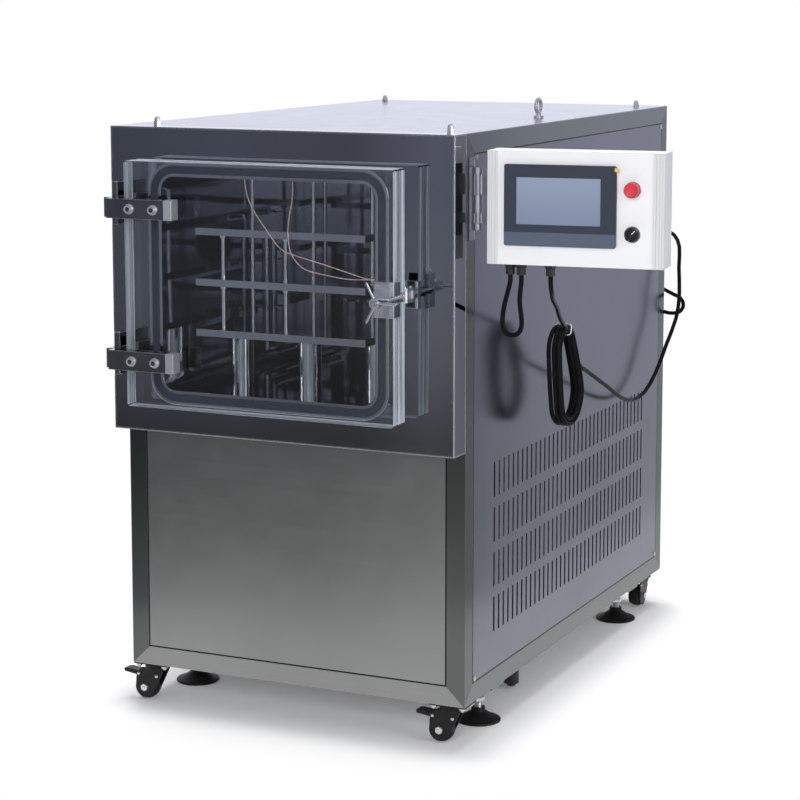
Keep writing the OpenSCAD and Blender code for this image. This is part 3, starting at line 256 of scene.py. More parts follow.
def turned(name, profile, place, sides=48, smooth=30.0):
    """Surface of revolution: each profile pair (radius, height) turned round the Z axis by the cosine
    and sine of the angle. A ring of no radius merges to one point. place moves it to the row frame."""
    r, z = np.transpose(profile)
    angle = np.linspace(0.0, math.tau, sides, endpoint=False)
    heights = np.repeat(z[:, None], sides, axis=1)
    points = np.stack([np.outer(r, np.cos(angle)), np.outer(r, np.sin(angle)), heights], axis=-1)
    piece = mesh_piece(name, place(points.reshape(-1, 3)), ring_faces(len(r), sides), smooth)
    outward(piece)
    return piece


def outward(piece):
    """Merges doubles and points every face outwards."""
    work = bmesh.new()
    work.from_mesh(piece.data)
    bmesh.ops.remove_doubles(work, verts=work.verts, dist=MERGE)
    bmesh.ops.recalc_face_normals(work, faces=work.faces)
    work.to_mesh(piece.data)
    work.free()
    piece.data.update()


def prism(name, outline, layers, place, smooth=30.0):
    """A closed outline repeated at several heights: each layer (height, share) scales it about its
    origin."""
    p = np.asarray(outline, float)
    rings = [np.column_stack([p * share, np.full(len(p), height)]) for height, share in layers]
    piece = mesh_piece(name, place(np.vstack(rings)), ring_faces(len(rings), len(p)), smooth)
    outward(piece)
    return piece


def polygon_outline(radius, corners):
    """Points of a regular polygon by the cosine and sine of equal angles."""
    angle = np.linspace(0.0, math.tau, corners, endpoint=False) + math.pi / corners
    return radius * np.column_stack([np.cos(angle), np.sin(angle)])


def slot_outline(long, wide, radius, steps=6):
    """A rectangle with rounded corners: four quarter circles joined by straight sides."""
    angle = np.linspace(0.0, math.pi / 2, steps)
    corners = []
    for k, (sx, sy) in enumerate(((1, 1), (-1, 1), (-1, -1), (1, -1))):
        a = angle + k * math.pi / 2
        corners.append(np.column_stack([sx * (long / 2 - radius) + radius * np.cos(a),
                                        sy * (wide / 2 - radius) + radius * np.sin(a)]))
    return np.vstack(corners)


def nut_layers(height):
    """Heights and shares of a nut or bolt head with both rims chamfered."""
    return [(0.0, 0.9), (0.14 * height, 1.0), (0.86 * height, 1.0), (height, 0.9)]


def declare(piece, body, slot, *nodes):
    """Puts a piece on a body, and hides the CAD nodes that it stands for. The slot is not used."""
    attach(piece, body)
    if nodes:
        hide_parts(*nodes)
    return piece


def join(name, pieces):
    """One object from several meshes that share a finish, with its place in its mesh."""
    bpy.ops.object.select_all(action="DESELECT")
    for piece in pieces:
        piece.select_set(True)
    bpy.context.view_layer.objects.active = pieces[0]
    bpy.ops.object.join()
    pieces[0].name = name
    pieces[0].data.name = name
    return pieces[0]


# ------------------------------------------------------------------ finishes


class Finish:
    """A procedural finish on Object coordinates, built node by node."""

    def __init__(self, name):
        self.mat = bpy.data.materials.new(name)
        self.mat.use_nodes = True
        self.tree = self.mat.node_tree
        self.tree.nodes.clear()
        self.out = self.add("ShaderNodeOutputMaterial")
        self.spot = self.add("ShaderNodeTexCoord").outputs["Object"]

    def add(self, kind, inputs=None, **settings):
        """Adds a node, sets its options, and links or sets each named or numbered input."""
        node = self.tree.nodes.new(kind)
        for key, value in settings.items():
            setattr(node, key, value)
        for key, value in (inputs or {}).items():
            if isinstance(value, bpy.types.NodeSocket):
                self.tree.links.new(value, node.inputs[key])
            elif value is not None:
                node.inputs[key].default_value = value
        return node

    def placed(self, origin=(0, 0, 0), turn=(0, 0, 0), size=(1, 1, 1)):
        """Coordinates counted from an origin in row metres, turned and divided by a size."""
        node = self.add("ShaderNodeMapping", {"Vector": self.spot}, vector_type="TEXTURE")
        node.inputs["Location"].default_value = origin
        node.inputs["Rotation"].default_value = turn
        node.inputs["Scale"].default_value = size
        return node.outputs[0]

    def noise(self, vector, scale, detail=2.0, rough=0.5):
        """Smooth random value from 0 to 1."""
        node = self.add("ShaderNodeTexNoise", {"Vector": vector, "Scale": scale, "Detail": detail,
                                               "Roughness": rough})
        return node.outputs["Fac"]

    def lines(self, per_metre, detail=3.0):
        """Noise drawn out into lines, by its counts per metre along X, Y and Z."""
        return self.noise(self.placed(size=tuple(1 / n for n in per_metre)), 1.0, detail, 0.6)

    def math(self, operation, a, b=None):
        """One arithmetic step."""
        return self.add("ShaderNodeMath", {0: a, 1: b}, operation=operation).outputs[0]

    def times(self, a, b):
        """a times b."""
        return self.math("MULTIPLY", a, b)

    def plus(self, a, b):
        """a and b together."""
        return self.math("ADD", a, b)

    def minus(self, a, b):
        """a without b."""
        return self.math("SUBTRACT", a, b)

    def reach(self, a, b):
        """Length of the level vector (a, b): the root of the sum of the squares."""
        return self.math("SQRT", self.plus(self.times(a, a), self.times(b, b)))

    def most(self, *values):
        """The greatest of several values."""
        best = values[0]
        for value in values[1:]:
            best = self.math("MAXIMUM", best, value)
        return best

    def span(self, value, low, high, to_low=0.0, to_high=1.0, smooth=True):
        """Maps low..high to to_low..to_high, held at the ends."""
        node = self.add("ShaderNodeMapRange", {"Value": value, "From Min": low, "From Max": high,
                                               "To Min": to_low, "To Max": to_high},
                        interpolation_type="SMOOTHSTEP" if smooth else "LINEAR")
        return node.outputs[0]

    def axes(self, vector):
        """The three coordinates of a vector."""
        node = self.add("ShaderNodeSeparateXYZ", {0: vector})
        return node.outputs[0], node.outputs[1], node.outputs[2]

    def along(self):
        """A cord's own map: its turn round the cord, and its distance along it in metres."""
        return self.axes(self.add("ShaderNodeUVMap", uv_map="along").outputs[0])[:2]

    def wave(self, turns):
        """Sine of a number of whole turns."""
        return self.math("SINE", self.times(turns, math.tau))

    def mix(self, share, a, b):
        """Colour a where share is 0, and colour b where it is 1."""
        node = self.add("ShaderNodeMix", data_type="RGBA")
        for k, value in ((0, share), (6, a), (7, b)):
            if isinstance(value, bpy.types.NodeSocket):
                self.tree.links.new(value, node.inputs[k])
            else:
                node.inputs[k].default_value = value
        return node.outputs[2]

    def within(self, coordinate, low, high, soft):
        """1 between low and high, falling to 0 over a soft edge outside them."""
        up = self.span(coordinate, low - soft, low, 0.0, 1.0)
        down = self.span(coordinate, high, high + soft, 1.0, 0.0)
        return self.times(up, down)

    def border(self, node, wide):
        """1 within a width of the rim of a flat sheet's node, from its box and its two long sides."""
        low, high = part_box(node)
        size = [high[k] - low[k] for k in range(3)]
        near = None
        for k, axis in enumerate(self.axes(self.spot)):
            if size[k] == min(size):
                continue
            for gap in (self.minus(axis, low[k]), self.minus(high[k], axis)):
                near = gap if near is None else self.math("MINIMUM", near, gap)
        return self.span(near, 0.6 * wide, wide, 1.0, 0.0)

    def edge(self, radius):
        """Normal that rounds the piece's sharp edges by a radius in metres."""
        return self.add("ShaderNodeBevel", {"Radius": radius}, samples=4).outputs[0]

    def rim(self, radius):
        """One at a sharp edge and nought a radius away from it: how far the rounded normal leans over."""
        flat = self.add("ShaderNodeNewGeometry").outputs["True Normal"]
        lean = self.add("ShaderNodeVectorMath", {0: self.edge(radius), 1: flat}, operation="DOT_PRODUCT")
        return self.span(lean.outputs["Value"], 0.985, 0.86, 0.0, 1.0)

    def bump(self, height, depth, normal=None):
        """Normal moved by a height, whose full range is depth metres."""
        node = self.add("ShaderNodeBump", {"Height": height, "Strength": 1.0, "Distance": depth})
        if normal is not None:
            self.tree.links.new(normal, node.inputs["Normal"])
        return node.outputs[0]

    def mottled(self, drift, colour, low, high, end=0.7):
        """A colour that drifts between two shares of itself with a slow noise."""
        return self.mix(self.span(drift, 0.3, end), tint(colour, low), tint(colour, high))

    def brushed(self, grain, rough):
        """Roughness that rises and falls a little with the brushed lines."""
        return self.plus(self.span(grain, 0.3, 0.7, -0.06 * rough, 0.06 * rough), rough)

    def finished(self, shader):
        """Links a shader to the surface, and gives the finished material."""
        self.tree.links.new(shader.outputs[0], self.out.inputs[0])
        return self.mat

    def shade(self, colour, rough, normal, more=None):
        """The material of one plain shader, with its colour, roughness, normal and any other inputs."""
        inputs = {"Base Color": colour, "Roughness": rough, "Normal": normal, **(more or {})}
        return self.finished(self.add("ShaderNodeBsdfPrincipled", inputs))


# Counts per metre of brushed lines along and across them, and of plain specks.
LINE_LENGTH, LINE_COUNT, SPECK_COUNT = 1.2, 420.0, 300.0
# Colour of the painted highlight on rounded steel rims.
RIM_HIGHLIGHT_STEEL = (0.92, 0.93, 0.95, 1)
JOINT_SHADE = (0.012, 0.013, 0.015, 1)
METAL = {"Metallic": 1.0}
LINES = {
    "X": (LINE_LENGTH, LINE_COUNT, LINE_COUNT),
    "Z": (LINE_COUNT, LINE_COUNT, LINE_LENGTH),
    "": (SPECK_COUNT, SPECK_COUNT, SPECK_COUNT),
}


def tint(colour, share=1.0):
    """A colour with its last value, scaled by a share."""
    return tuple(min(1.0, c * share) for c in colour[:3]) + (1.0,)


def steel(name, colour, rough, lines="X", line_depth=0.000012, wave=0.0, edge=0.0012, mottle=0.05,
          aniso=0.0, gap=None, wear_and_highlight=0.0):
    """Steel sheet: fine lines along one axis, slow tone changes, and a slight wave in its face. gap is a
    sheet's node, and draws the dark joint round it. The last argument paints a highlight on its rounded
    rims."""
    f = Finish(name)
    grain = f.lines(LINES[lines])
    cloud = f.noise(f.placed(), 3.1, 3.0, 0.55)
    smear = f.noise(f.placed(), 17.0, 2.0, 0.5)
    base = f.mottled(cloud, colour, 1 - mottle, 1 + mottle)
    base = f.mix(f.times(grain, 0.16), base, tint(colour, 0.76))
    if gap:
        base = f.mix(f.border(gap, 0.0022), base, JOINT_SHADE)
    r = f.brushed(grain, rough)
    r = f.plus(r, f.span(smear, 0.35, 0.75, 0.0, 0.1 * rough + 0.004))
    # Painted highlight: the rounded rims get a brighter colour, and a little more roughness.
    if wear_and_highlight:
        rim = f.times(f.rim(edge), wear_and_highlight)
        base = f.mix(rim, base, RIM_HIGHLIGHT_STEEL)
        r = f.plus(r, f.times(rim, 0.3))
    normal = f.bump(grain, line_depth, f.edge(edge))
    if wave:
        slow = f.noise(f.placed(), 2.3, 1.0, 0.4)
        normal = f.bump(slow, wave, normal)
    return f.shade(base, r, normal, {"Metallic": 1.0, "Anisotropic": aniso})


def plastic(name, colour, rough, grain=900.0, depth=0.00002, edge=0.0006, gloss=0.5):
    """Moulded or painted surface: fine grain, slow tone changes and rounded edges."""
    f = Finish(name)
    fine = f.noise(f.placed(), grain, 2.0, 0.6)
    cloud = f.noise(f.placed(), 9.0, 3.0, 0.6)
    base = f.mottled(cloud, colour, 0.94, 1.06, 0.75)
    r = f.span(cloud, 0.3, 0.7, rough * 0.9, rough * 1.12)
    normal = f.bump(fine, depth, f.edge(edge))
    return f.shade(base, r, normal, {"Specular IOR Level": gloss})


def rubber(name, colour, rough=0.6):
    """Black rubber: speckled, slightly dusty, with light patches of wear."""
    f = Finish(name)
    fine = f.noise(f.placed(), 1400.0, 3.0, 0.6)
    wear_and_highlight = f.span(f.noise(f.placed(), 60.0, 4.0, 0.65), 0.55, 0.8)
    base = f.mix(f.times(wear_and_highlight, 0.35), tint(colour), tint((0.11, 0.11, 0.11, 1)))
    r = f.plus(f.times(wear_and_highlight, 0.15), rough)
    normal = f.bump(fine, 0.00005, f.edge(0.0012))
    return f.shade(base, r, normal, {"Specular IOR Level": 0.25})


def dress(material, *nodes):
    """Gives CAD nodes or pieces one material in every slot."""
    for node in nodes:
        piece = NODES[node] if isinstance(node, str) else node
        if not piece.material_slots:
            piece.data.materials.append(material)
        for slot in piece.material_slots:
            slot.link = "OBJECT"
            slot.material = material


def frame_steel(colour, rough):
    """Welded frame: brushed along each member, with a mitred seam where members meet. The uprights are
    painted darker and the bars' front faces lighter, as painted reflections.
    """
    f = Finish("frame_brushed")
    x, y, z = f.axes(f.placed(origin=tuple(CABINET)))
    w, d, low, high = (size / 1000 for size in (CAB_W, CAB_D, FLOOR_GAP, CAB_TOP))
    member = 0.042
    near_x = f.math("MINIMUM", x, f.minus(w, x))
    near_y = f.math("MINIMUM", y, f.minus(d, y))
    across = f.most(near_x, near_y)
    up = f.math("MINIMUM", f.minus(z, low), f.minus(high, z))
    upright = f.math("LESS_THAN", across, up)
    seam = f.span(f.math("ABSOLUTE", f.minus(across, up)), 0.0004, 0.0016, 1.0, 0.0)
    seam = f.times(seam, f.math("LESS_THAN", up, member))
    lines_up = f.lines(LINES["Z"])
    lines_flat = f.lines((LINE_LENGTH, LINE_LENGTH, LINE_COUNT))
    grain = f.add("ShaderNodeMix", {0: upright, 2: lines_flat, 3: lines_up}).outputs[0]
    cloud = f.noise(f.placed(), 4.0, 3.0, 0.55)
    # Painted reflections: the uprights are darker, standing in for the dark surroundings they mirror, and
    # the front faces of the bars are lighter.
    post = f.mottled(cloud, colour, 0.60, 0.68)
    front_bar_painted_light = f.mix(f.span(cloud, 0.3, 0.7), (0.485, 0.49, 0.49, 1), (0.52, 0.525, 0.525, 1))
    bar = f.mix(f.math("LESS_THAN", y, 0.001), tint(colour, 0.92), front_bar_painted_light)
    base = f.mix(upright, bar, post)
    base = f.mix(f.times(grain, 0.2), base, tint(colour, 0.55))
    base = f.mix(f.times(seam, 0.3), base, tint(colour, 0.45))
    r = f.brushed(grain, rough)
    r = f.plus(r, f.times(seam, 0.2))
    dent = f.minus(f.times(grain, 0.03), seam)
    return f.shade(base, r, f.bump(dent, 0.00008, f.edge(0.0015)), METAL)


def clear_plastic(colour):
    """Clear cast sheet: polished faces that let the lamps through, faint haze and saw lines on its edges."""
    f = Finish("clear_door")
    x, _, z = f.axes(f.placed(origin=tuple(CABINET)))
    saw_lines = f.lines((40, 700, 5), 2.0)
    far_side = (0.6470, 0.6478)
    rim_x = f.most(f.span(x, 0.0795, 0.0785), f.span(x, *far_side))
    rim_z = f.most(f.span(z, 0.6430, 0.6420), f.span(z, 1.1170, 1.1180))
    rim = f.most(rim_x, rim_z)
    haze = f.noise(f.placed(), 6.0, 3.0, 0.6)
    band_up = f.lines((60, 160, 1.5), 2.0)
    band_flat = f.lines((1.5, 160, 60), 2.0)
    band = f.add("ShaderNodeMix", {0: rim_z, 2: band_up, 3: band_flat}).outputs[0]
    r = f.plus(f.times(rim, 0.2), f.span(haze, 0.4, 0.8, 0.0, 0.02))
    normal = f.bump(f.times(saw_lines, rim), 0.00012, f.edge(0.0012))
    glass = f.add("ShaderNodeBsdfPrincipled", {"Base Color": tint(colour), "Roughness": r, "IOR": 1.49,
                                               "Transmission Weight": 1.0, "Normal": normal})
    frost = f.add("ShaderNodeBsdfDiffuse", {0: (0.76, 0.83, 0.92, 1)})
    far_rim = f.span(x, *far_side, 1.0, 1.5)
    share = f.times(f.times(rim, far_rim), f.span(band, 0.35, 0.65, 0.14, 0.52))
    edged = f.add("ShaderNodeMixShader", {0: share, 1: glass.outputs[0], 2: frost.outputs[0]})
    clear = f.add("ShaderNodeBsdfTransparent", {0: (0.93, 0.95, 0.96, 1)})
    path = f.add("ShaderNodeLightPath")
    share = f.most(path.outputs["Is Shadow Ray"], path.outputs["Is Diffuse Ray"])
    mixed = f.add("ShaderNodeMixShader", {0: share, 1: edged.outputs[0], 2: clear.outputs[0]})
    return f.finished(mixed)


def cable_jacket():
    """Black cable sheath: satin, with a faint lay of the cores under it along the map of its length."""
    f = Finish("cable_jacket")
    cores, twists_per_metre = 3.0, 22.0
    u, v = f.along()
    lay = f.wave(f.plus(f.times(u, cores), f.times(v, twists_per_metre)))
    fine = f.noise(f.placed(), 700.0, 2.0, 0.6)
    scuff = f.span(f.noise(f.placed(), 45.0, 3.0, 0.6), 0.55, 0.8)
    base = f.mix(f.times(scuff, 0.5), (0.009, 0.009, 0.0105, 1), (0.022, 0.022, 0.024, 1))
    r = f.plus(f.times(scuff, 0.12), 0.26)
    height = f.plus(f.times(lay, 0.5), f.times(fine, 0.25))
    return f.shade(base, r, f.bump(height, 0.00006), {"Specular IOR Level": 0.03})


def touch_finish():
    """Touch panel: dark bezel, a lighter band along its foot and an unlit screen, painted lighter towards
    its top as a painted reflection.
    """
    f = Finish("touch_panel_face")
    centre = tuple(at_box([168.0, BOX_FACE - 6.0, 6.0]))
    x, y, z = f.axes(f.placed(origin=centre, turn=(0, 0, BOX_TURN)))
    low, high, soft = -0.035, 0.051, 0.0004
    screen = f.times(f.within(x, -0.0815, 0.0755, soft), f.within(z, low, high, soft))
    foot = f.times(f.span(z, -0.0499, -0.0493, 1.0, 0.0), f.span(y, 0.0046, 0.0040))
    # Painted reflection: the unlit screen is lighter towards its top.
    painted_light = f.span(z, low, high)
    picture = f.mix(painted_light, (0.215, 0.265, 0.375, 1), (0.27, 0.325, 0.44, 1))
    fine = f.noise(f.placed(), 500.0, 2.0, 0.6)
    body = f.mix(f.times(fine, 0.2), (0.03, 0.038, 0.062, 1), (0.04, 0.05, 0.078, 1))
    body = f.mix(foot, body, (0.088, 0.112, 0.165, 1))
    base = f.mix(screen, body, picture)
    r = f.span(screen, 0.0, 1.0, 0.34, 0.22)
    return f.shade(base, r, f.bump(fine, 0.00001, f.edge(0.0008)), {"Specular IOR Level": 0.4})


def white_case(colour):
    """Powder-coated sheet: fine orange peel and very slight tone changes."""
    f = Finish("powder_coat")
    peel = f.noise(f.placed(), 420.0, 2.0, 0.5)
    cloud = f.noise(f.placed(), 7.0, 2.0, 0.5)
    base = f.mottled(cloud, colour, 0.985, 1.0)
    r = f.span(cloud, 0.3, 0.7, 0.34, 0.42)
    normal = f.bump(peel, 0.00004, f.edge(0.0012))
    return f.shade(base, r, normal, {"Coat Weight": 0.15, "Coat Roughness": 0.25})


def rail_paint(colour):
    """Painted side rails of the control box: three fine grooves down each, set out in the box's turned
    coordinates, and darker in them as painted shade."""
    f = Finish("rail_paint")
    x, y, _ = f.axes(f.placed(origin=tuple(at_box([0.0, 0.0, 0.0])), turn=(0, 0, BOX_TURN)))
    places, half, soft = (0.0335, 0.0385, 0.0445, 0.3455, 0.3515, 0.3565), 0.0003, 0.0004
    groove = f.most(*[f.within(x, place - half, place + half, soft) for place in places])
    on_face = f.math("LESS_THAN", y, -0.040)
    groove = f.times(groove, on_face)
    cloud = f.noise(f.placed(), 7.0, 2.0, 0.5)
    fine = f.noise(f.placed(), 420.0, 2.0, 0.5)
    base = f.mottled(cloud, colour, 0.985, 1.0)
    # Painted shade: the grooves are darker.
    base = f.mix(f.times(groove, 0.7), base, tint(colour, 0.72))
    normal = f.bump(f.minus(1.0, groove), 0.0007, f.edge(0.0016))
    normal = f.bump(fine, 0.00003, normal)
    return f.shade(base, f.span(cloud, 0.3, 0.7, 0.38, 0.46), normal)


def copper_lines():
    """Drawn copper, tarnished in slow patches, with the drain below the tray painted black."""
    f = Finish("copper_pipe")
    _, _, z = f.axes(f.spot)
    painted = f.span(z, 0.078, 0.0775, 0.0, 1.0)
    tarnish = f.span(f.noise(f.placed(), 22.0, 4.0, 0.6), 0.4, 0.75)
    fine = f.noise(f.placed(), 300.0, 2.0, 0.5)
    base = f.mix(tarnish, (0.75, 0.40, 0.26, 1), (0.42, 0.23, 0.15, 1))
    base = f.mix(painted, base, (0.012, 0.012, 0.013, 1))
    r = f.plus(f.span(tarnish, 0.0, 1.0, 0.24, 0.38), f.times(painted, 0.15))
    normal = f.bump(fine, 0.00002, f.edge(0.0008))
    return f.shade(base, r, normal, {"Metallic": f.minus(1.0, painted)})


def polished_bar(colour):
    """Polished hinge bar: mirror-bright with a slight wave, its folded end bead-blasted pale, and a painted
    highlight on its rounded rims.
    """
    f = Finish("bar_polished")
    x, _, _ = f.axes(f.placed(origin=tuple(CABINET)))
    folded = f.times(f.span(x, 0.1785, 0.1790, 0.0, 1.0), f.span(x, 0.2, 0.201, 1.0, 0.0))
    speck = f.noise(f.placed(), 900.0, 3.0, 0.7)
    slow = f.noise(f.placed(), 16.0, 2.0, 0.5)
    base = f.mottled(slow, colour, 0.85, 1.15)
    blasted = f.mix(f.span(speck, 0.3, 0.7), (0.78, 0.83, 0.88, 1), (0.96, 0.98, 1.0, 1))
    base = f.mix(folded, base, blasted)
    hasp = f.span(x, 0.55, 0.56, 0.0, 1.0)
    satin = f.mix(f.span(slow, 0.35, 0.65), (0.50, 0.53, 0.57, 1), (0.86, 0.89, 0.93, 1))
    base = f.mix(hasp, base, satin)
    # Painted highlight: the rounded rims get the bright rim colour, and more roughness.
    rim = f.rim(0.0022)
    base = f.mix(f.times(rim, 0.85), base, RIM_HIGHLIGHT_STEEL)
    dull = f.most(folded, rim, f.times(hasp, 0.5))
    r = f.plus(0.06, f.times(dull, 0.36))
    normal = f.bump(slow, 0.0012, f.edge(0.0022))
    return f.shade(base, r, normal, METAL)


def hinge_steel():
    """Box hinge: turned knuckles bright round the hinge's axis, its flat plates darker and smoother."""
    f = Finish("hinge_satin")
    x, y, _ = f.axes(f.placed(origin=tuple(at_cabinet(BOX_HINGE))))
    turned_part = f.span(f.reach(x, y), 0.0074, 0.0078, 1.0, 0.0)
    rings = f.lines((30, 30, 900), 2.0)
    base = f.mix(turned_part, (0.42, 0.43, 0.45, 1), (0.94, 0.95, 0.97, 1))
    base = f.mix(f.times(rings, 0.2), base, (0.5, 0.5, 0.52, 1))
    r = f.span(turned_part, 0.0, 1.0, 0.2, 0.36)
    return f.shade(base, r, f.bump(rings, 0.00002, f.edge(0.0008)), METAL)


def threaded(name, colour, origin, axis, pitch, radius):
    """Bright steel with a rolled thread: a sine wave along one axis, kept to a radius round it, and painted
    shade in the thread's roots.
    """
    f = Finish(name)
    p = f.axes(f.placed(origin=tuple(origin)))
    out = f.reach(*[p[k] for k in range(3) if k != axis])
    wave = f.math("SINE", f.times(p[axis], math.tau / pitch))
    keep = f.span(out, radius, radius + 0.0006, 1.0, 0.0)
    cut = f.times(f.span(wave, -1.0, 1.0, 0.0, 1.0, False), keep)
    # Painted shade: the thread's roots are darker.
    root = f.times(f.minus(1.0, cut), f.times(keep, 0.6))
    base = f.mix(root, tint(colour), tint(colour, 0.35))
    return f.shade(base, 0.22, f.bump(cut, 0.0008, f.edge(0.0006)), METAL)


def lead_finish():
    """Braided thermocouple lead: pale rose sleeve with a darker fleck."""
    f = Finish("lead_braid")
    flecks_per_metre = 260.0
    u, v = f.along()
    fleck = f.wave(f.plus(u, f.times(v, flecks_per_metre)))
    base = f.mix(f.span(fleck, 0.1, 0.7), (0.74, 0.56, 0.53, 1), (0.42, 0.19, 0.17, 1))
    return f.shade(base, 0.6, f.bump(fleck, 0.00008))


# ------------------------------------------------------------------ settings


def colour_setting(name, about, value):
    """A colour that the user can change."""
    return bpy.props.FloatVectorProperty(name=name, description=about, default=value, size=4,
                                         subtype="COLOR", min=0.0, max=1.0)


def length_setting(name, about, value, least, most):
    """A length in metres that the user can change."""
    return bpy.props.FloatProperty(name=name, description=about, default=value, min=least, max=most,
                                   unit="LENGTH")


class DRYER_PG_finishes(bpy.types.PropertyGroup):
    """Colours and gloss of the machine."""

    frame_colour: colour_setting(
        "Frame", "Brushed steel of the frame and front panel", (0.335, 0.36, 0.355, 1))
    side_colour: colour_setting(
        "Side panels", "Satin steel of the side and rear panels", (0.33, 0.335, 0.39, 1))
    top_colour: colour_setting("Top panel", "Satin steel of the top", (0.52, 0.53, 0.605, 1))
    mirror_colour: colour_setting("Bonnet", "Mirror steel of the bonnet and chamber", (0.50, 0.52, 0.57, 1))
    bright_colour: colour_setting(
        "Fittings", "Polished steel of bars, pins and screws", (0.66, 0.67, 0.69, 1))
    case_colour: colour_setting("Control box", "Powder coat of the control box", (0.86, 0.87, 0.88, 1))
    rail_colour: colour_setting("Box rails", "Painted side rails of the control box", (0.74, 0.75, 0.765, 1))
    button_colour: colour_setting("Button", "Stop button", (0.66, 0.035, 0.05, 1))
    door_colour: colour_setting("Door", "Clear door", (0.955, 0.975, 0.985, 1))


class DRYER_PG_cables(bpy.types.PropertyGroup):
    """Sizes of cables and leads."""

    cable_radius: length_setting("Cable radius", "Radius of the control cables", 0.0045, 0.003, 0.0055)
    strand_radius: length_setting("Strand radius", "Radius of one strand of a lead", 0.00056, 0.0003, 0.0009)
    lay_length: length_setting("Lay length", "Length of one twist of a lead", 0.007, 0.003, 0.02)
    hank_turns: bpy.props.IntProperty(name="Hank turns", description="Whole turns in the tied hank",
                                      default=5, min=3, max=5)


class DRYER_PG_stage(bpy.types.PropertyGroup):
    """Camera, lamps and floor."""

    lens: bpy.props.FloatProperty(name="Lens", description="Focal length on a 36 mm sensor, in millimetres",
                                  default=102.375, min=50.0, max=200.0)
    lamp_power: bpy.props.FloatProperty(name="Lamp power", description="Share of the lamps' usual power",
                                        default=1.0, min=0.1, max=3.0)
    floor_size: length_setting("Floor size", "Side of the square floor", 16.0, 6.0, 40.0)


# ------------------------------------------------------------------ stage


def softbox(name, at, target, size, power):
    """A rectangular lamp at a place, looking at a target."""
    lamp = bpy.data.lights.new(name, "AREA")
    lamp.shape = "RECTANGLE"
    lamp.size, lamp.size_y = size
    lamp.energy = power
    piece = bpy.data.objects.new(name, lamp)
    bpy.context.scene.collection.objects.link(piece)
    piece.location = at
    piece.rotation_euler = (Vector(target) - Vector(at)).to_track_quat("-Z", "Y").to_euler()
    return piece


def reflected_only(piece, finish, colour):
    """Lets a sheet that glows in one colour show in reflections and nowhere else."""
    dress(finish.finished(finish.add("ShaderNodeEmission", {0: colour, 1: 1.0})), piece)
    piece.visible_camera = False
    piece.visible_diffuse = False
    piece.visible_shadow = False


def card(name, left, right, height, tones, sides):
    """A studio card seen only in reflections: an upright sheet from one floor point to another, with a
    tone for each height in metres, times a tone for each share of the way across."""
    left, right, up = np.array([*left, 0.0]), np.array([*right, 0.0]), np.array([0.0, 0.0, height])
    piece = mesh_piece(name, [left, right, right + up, left + up], [[0, 1, 2, 3]])
    f = Finish(name + "_cloth")
    across = right - left
    turn = math.atan2(across[1], across[0])
    x, _, z = f.axes(f.placed(origin=tuple(left), turn=(0, 0, turn)))
    both = []
    for value, stops in (
        (f.math("DIVIDE", z, height), [(at / height, tone) for at, tone in tones]),
        (f.math("DIVIDE", x, float(np.linalg.norm(across))), sides),
    ):
        ramp = f.add("ShaderNodeValToRGB", {0: value})
        while len(ramp.color_ramp.elements) < len(stops):
            ramp.color_ramp.elements.new(0.5)
        for element, (at, tone) in zip(ramp.color_ramp.elements, stops):
            element.position = at
            element.color = tuple(tone) + (1.0,)
        both.append(ramp.outputs[0])
    product = f.add("ShaderNodeVectorMath", {0: both[0], 1: both[1]}, operation="MULTIPLY")
    reflected_only(piece, f, product.outputs[0])


def flag(name, low, high, tone, height=0.004):
    """A matt sheet lying level between two corners, just over the floor or high up, seen only in
    reflections."""
    (x0, y0), (x1, y1) = low, high
    corners = [(x0, y0, height), (x1, y0, height), (x1, y1, height), (x0, y1, height)]
    piece = mesh_piece(name, corners, [[0, 1, 2, 3]])
    f = Finish(name + "_cloth")
    grain = f.noise(f.placed(), 2.0, 2.0, 0.5)
    reflected_only(piece, f, f.mix(grain, tint(tone, 0.92), tint(tone, 1.08)))


def make_camera(lens):
    """The camera at its place, looking along its turn and tilt."""
    camera = bpy.data.cameras.new("camera")
    camera.lens = lens
    camera.sensor_width = 36.0
    camera.shift_y = CAMERA_SHIFT
    piece = bpy.data.objects.new("camera", camera)
    bpy.context.scene.collection.objects.link(piece)
    yaw, pitch = math.radians(CAMERA_YAW), math.radians(CAMERA_PITCH)
    level = math.cos(pitch)
    ahead = Vector((-math.sin(yaw) * level, math.cos(yaw) * level, -math.sin(pitch)))
    piece.location = Vector(at_cabinet(CAMERA_AT))
    piece.rotation_euler = ahead.to_track_quat("-Z", "Y").to_euler()
    bpy.context.scene.camera = piece


def make_surroundings():
    """World: white to the camera, in gloss and through glass, and a dim sky as light."""
    world = bpy.data.worlds.new("surroundings")
    bpy.context.scene.world = world
    world.use_nodes = True
    tree = world.node_tree
    tree.nodes.clear()
    path = tree.nodes.new("ShaderNodeLightPath")
    seen = path.outputs["Is Camera Ray"]
    for other in ("Is Glossy Ray", "Is Transmission Ray"):
        step = tree.nodes.new("ShaderNodeMath")
        step.operation = "MAXIMUM"
        tree.links.new(seen, step.inputs[0])
        tree.links.new(path.outputs[other], step.inputs[1])
        seen = step.outputs[0]
    both = tree.nodes.new("ShaderNodeMixShader")
    tree.links.new(seen, both.inputs[0])
    for k, (colour, strength) in enumerate((((0.93, 0.95, 1.0, 1), 0.24), ((1, 1, 1, 1), 1.0)), 1):
        light = tree.nodes.new("ShaderNodeBackground")
        light.inputs[0].default_value = colour
        light.inputs[1].default_value = strength
        tree.links.new(light.outputs[0], both.inputs[k])
    out = tree.nodes.new("ShaderNodeOutputWorld")
    tree.links.new(both.outputs[0], out.inputs[0])


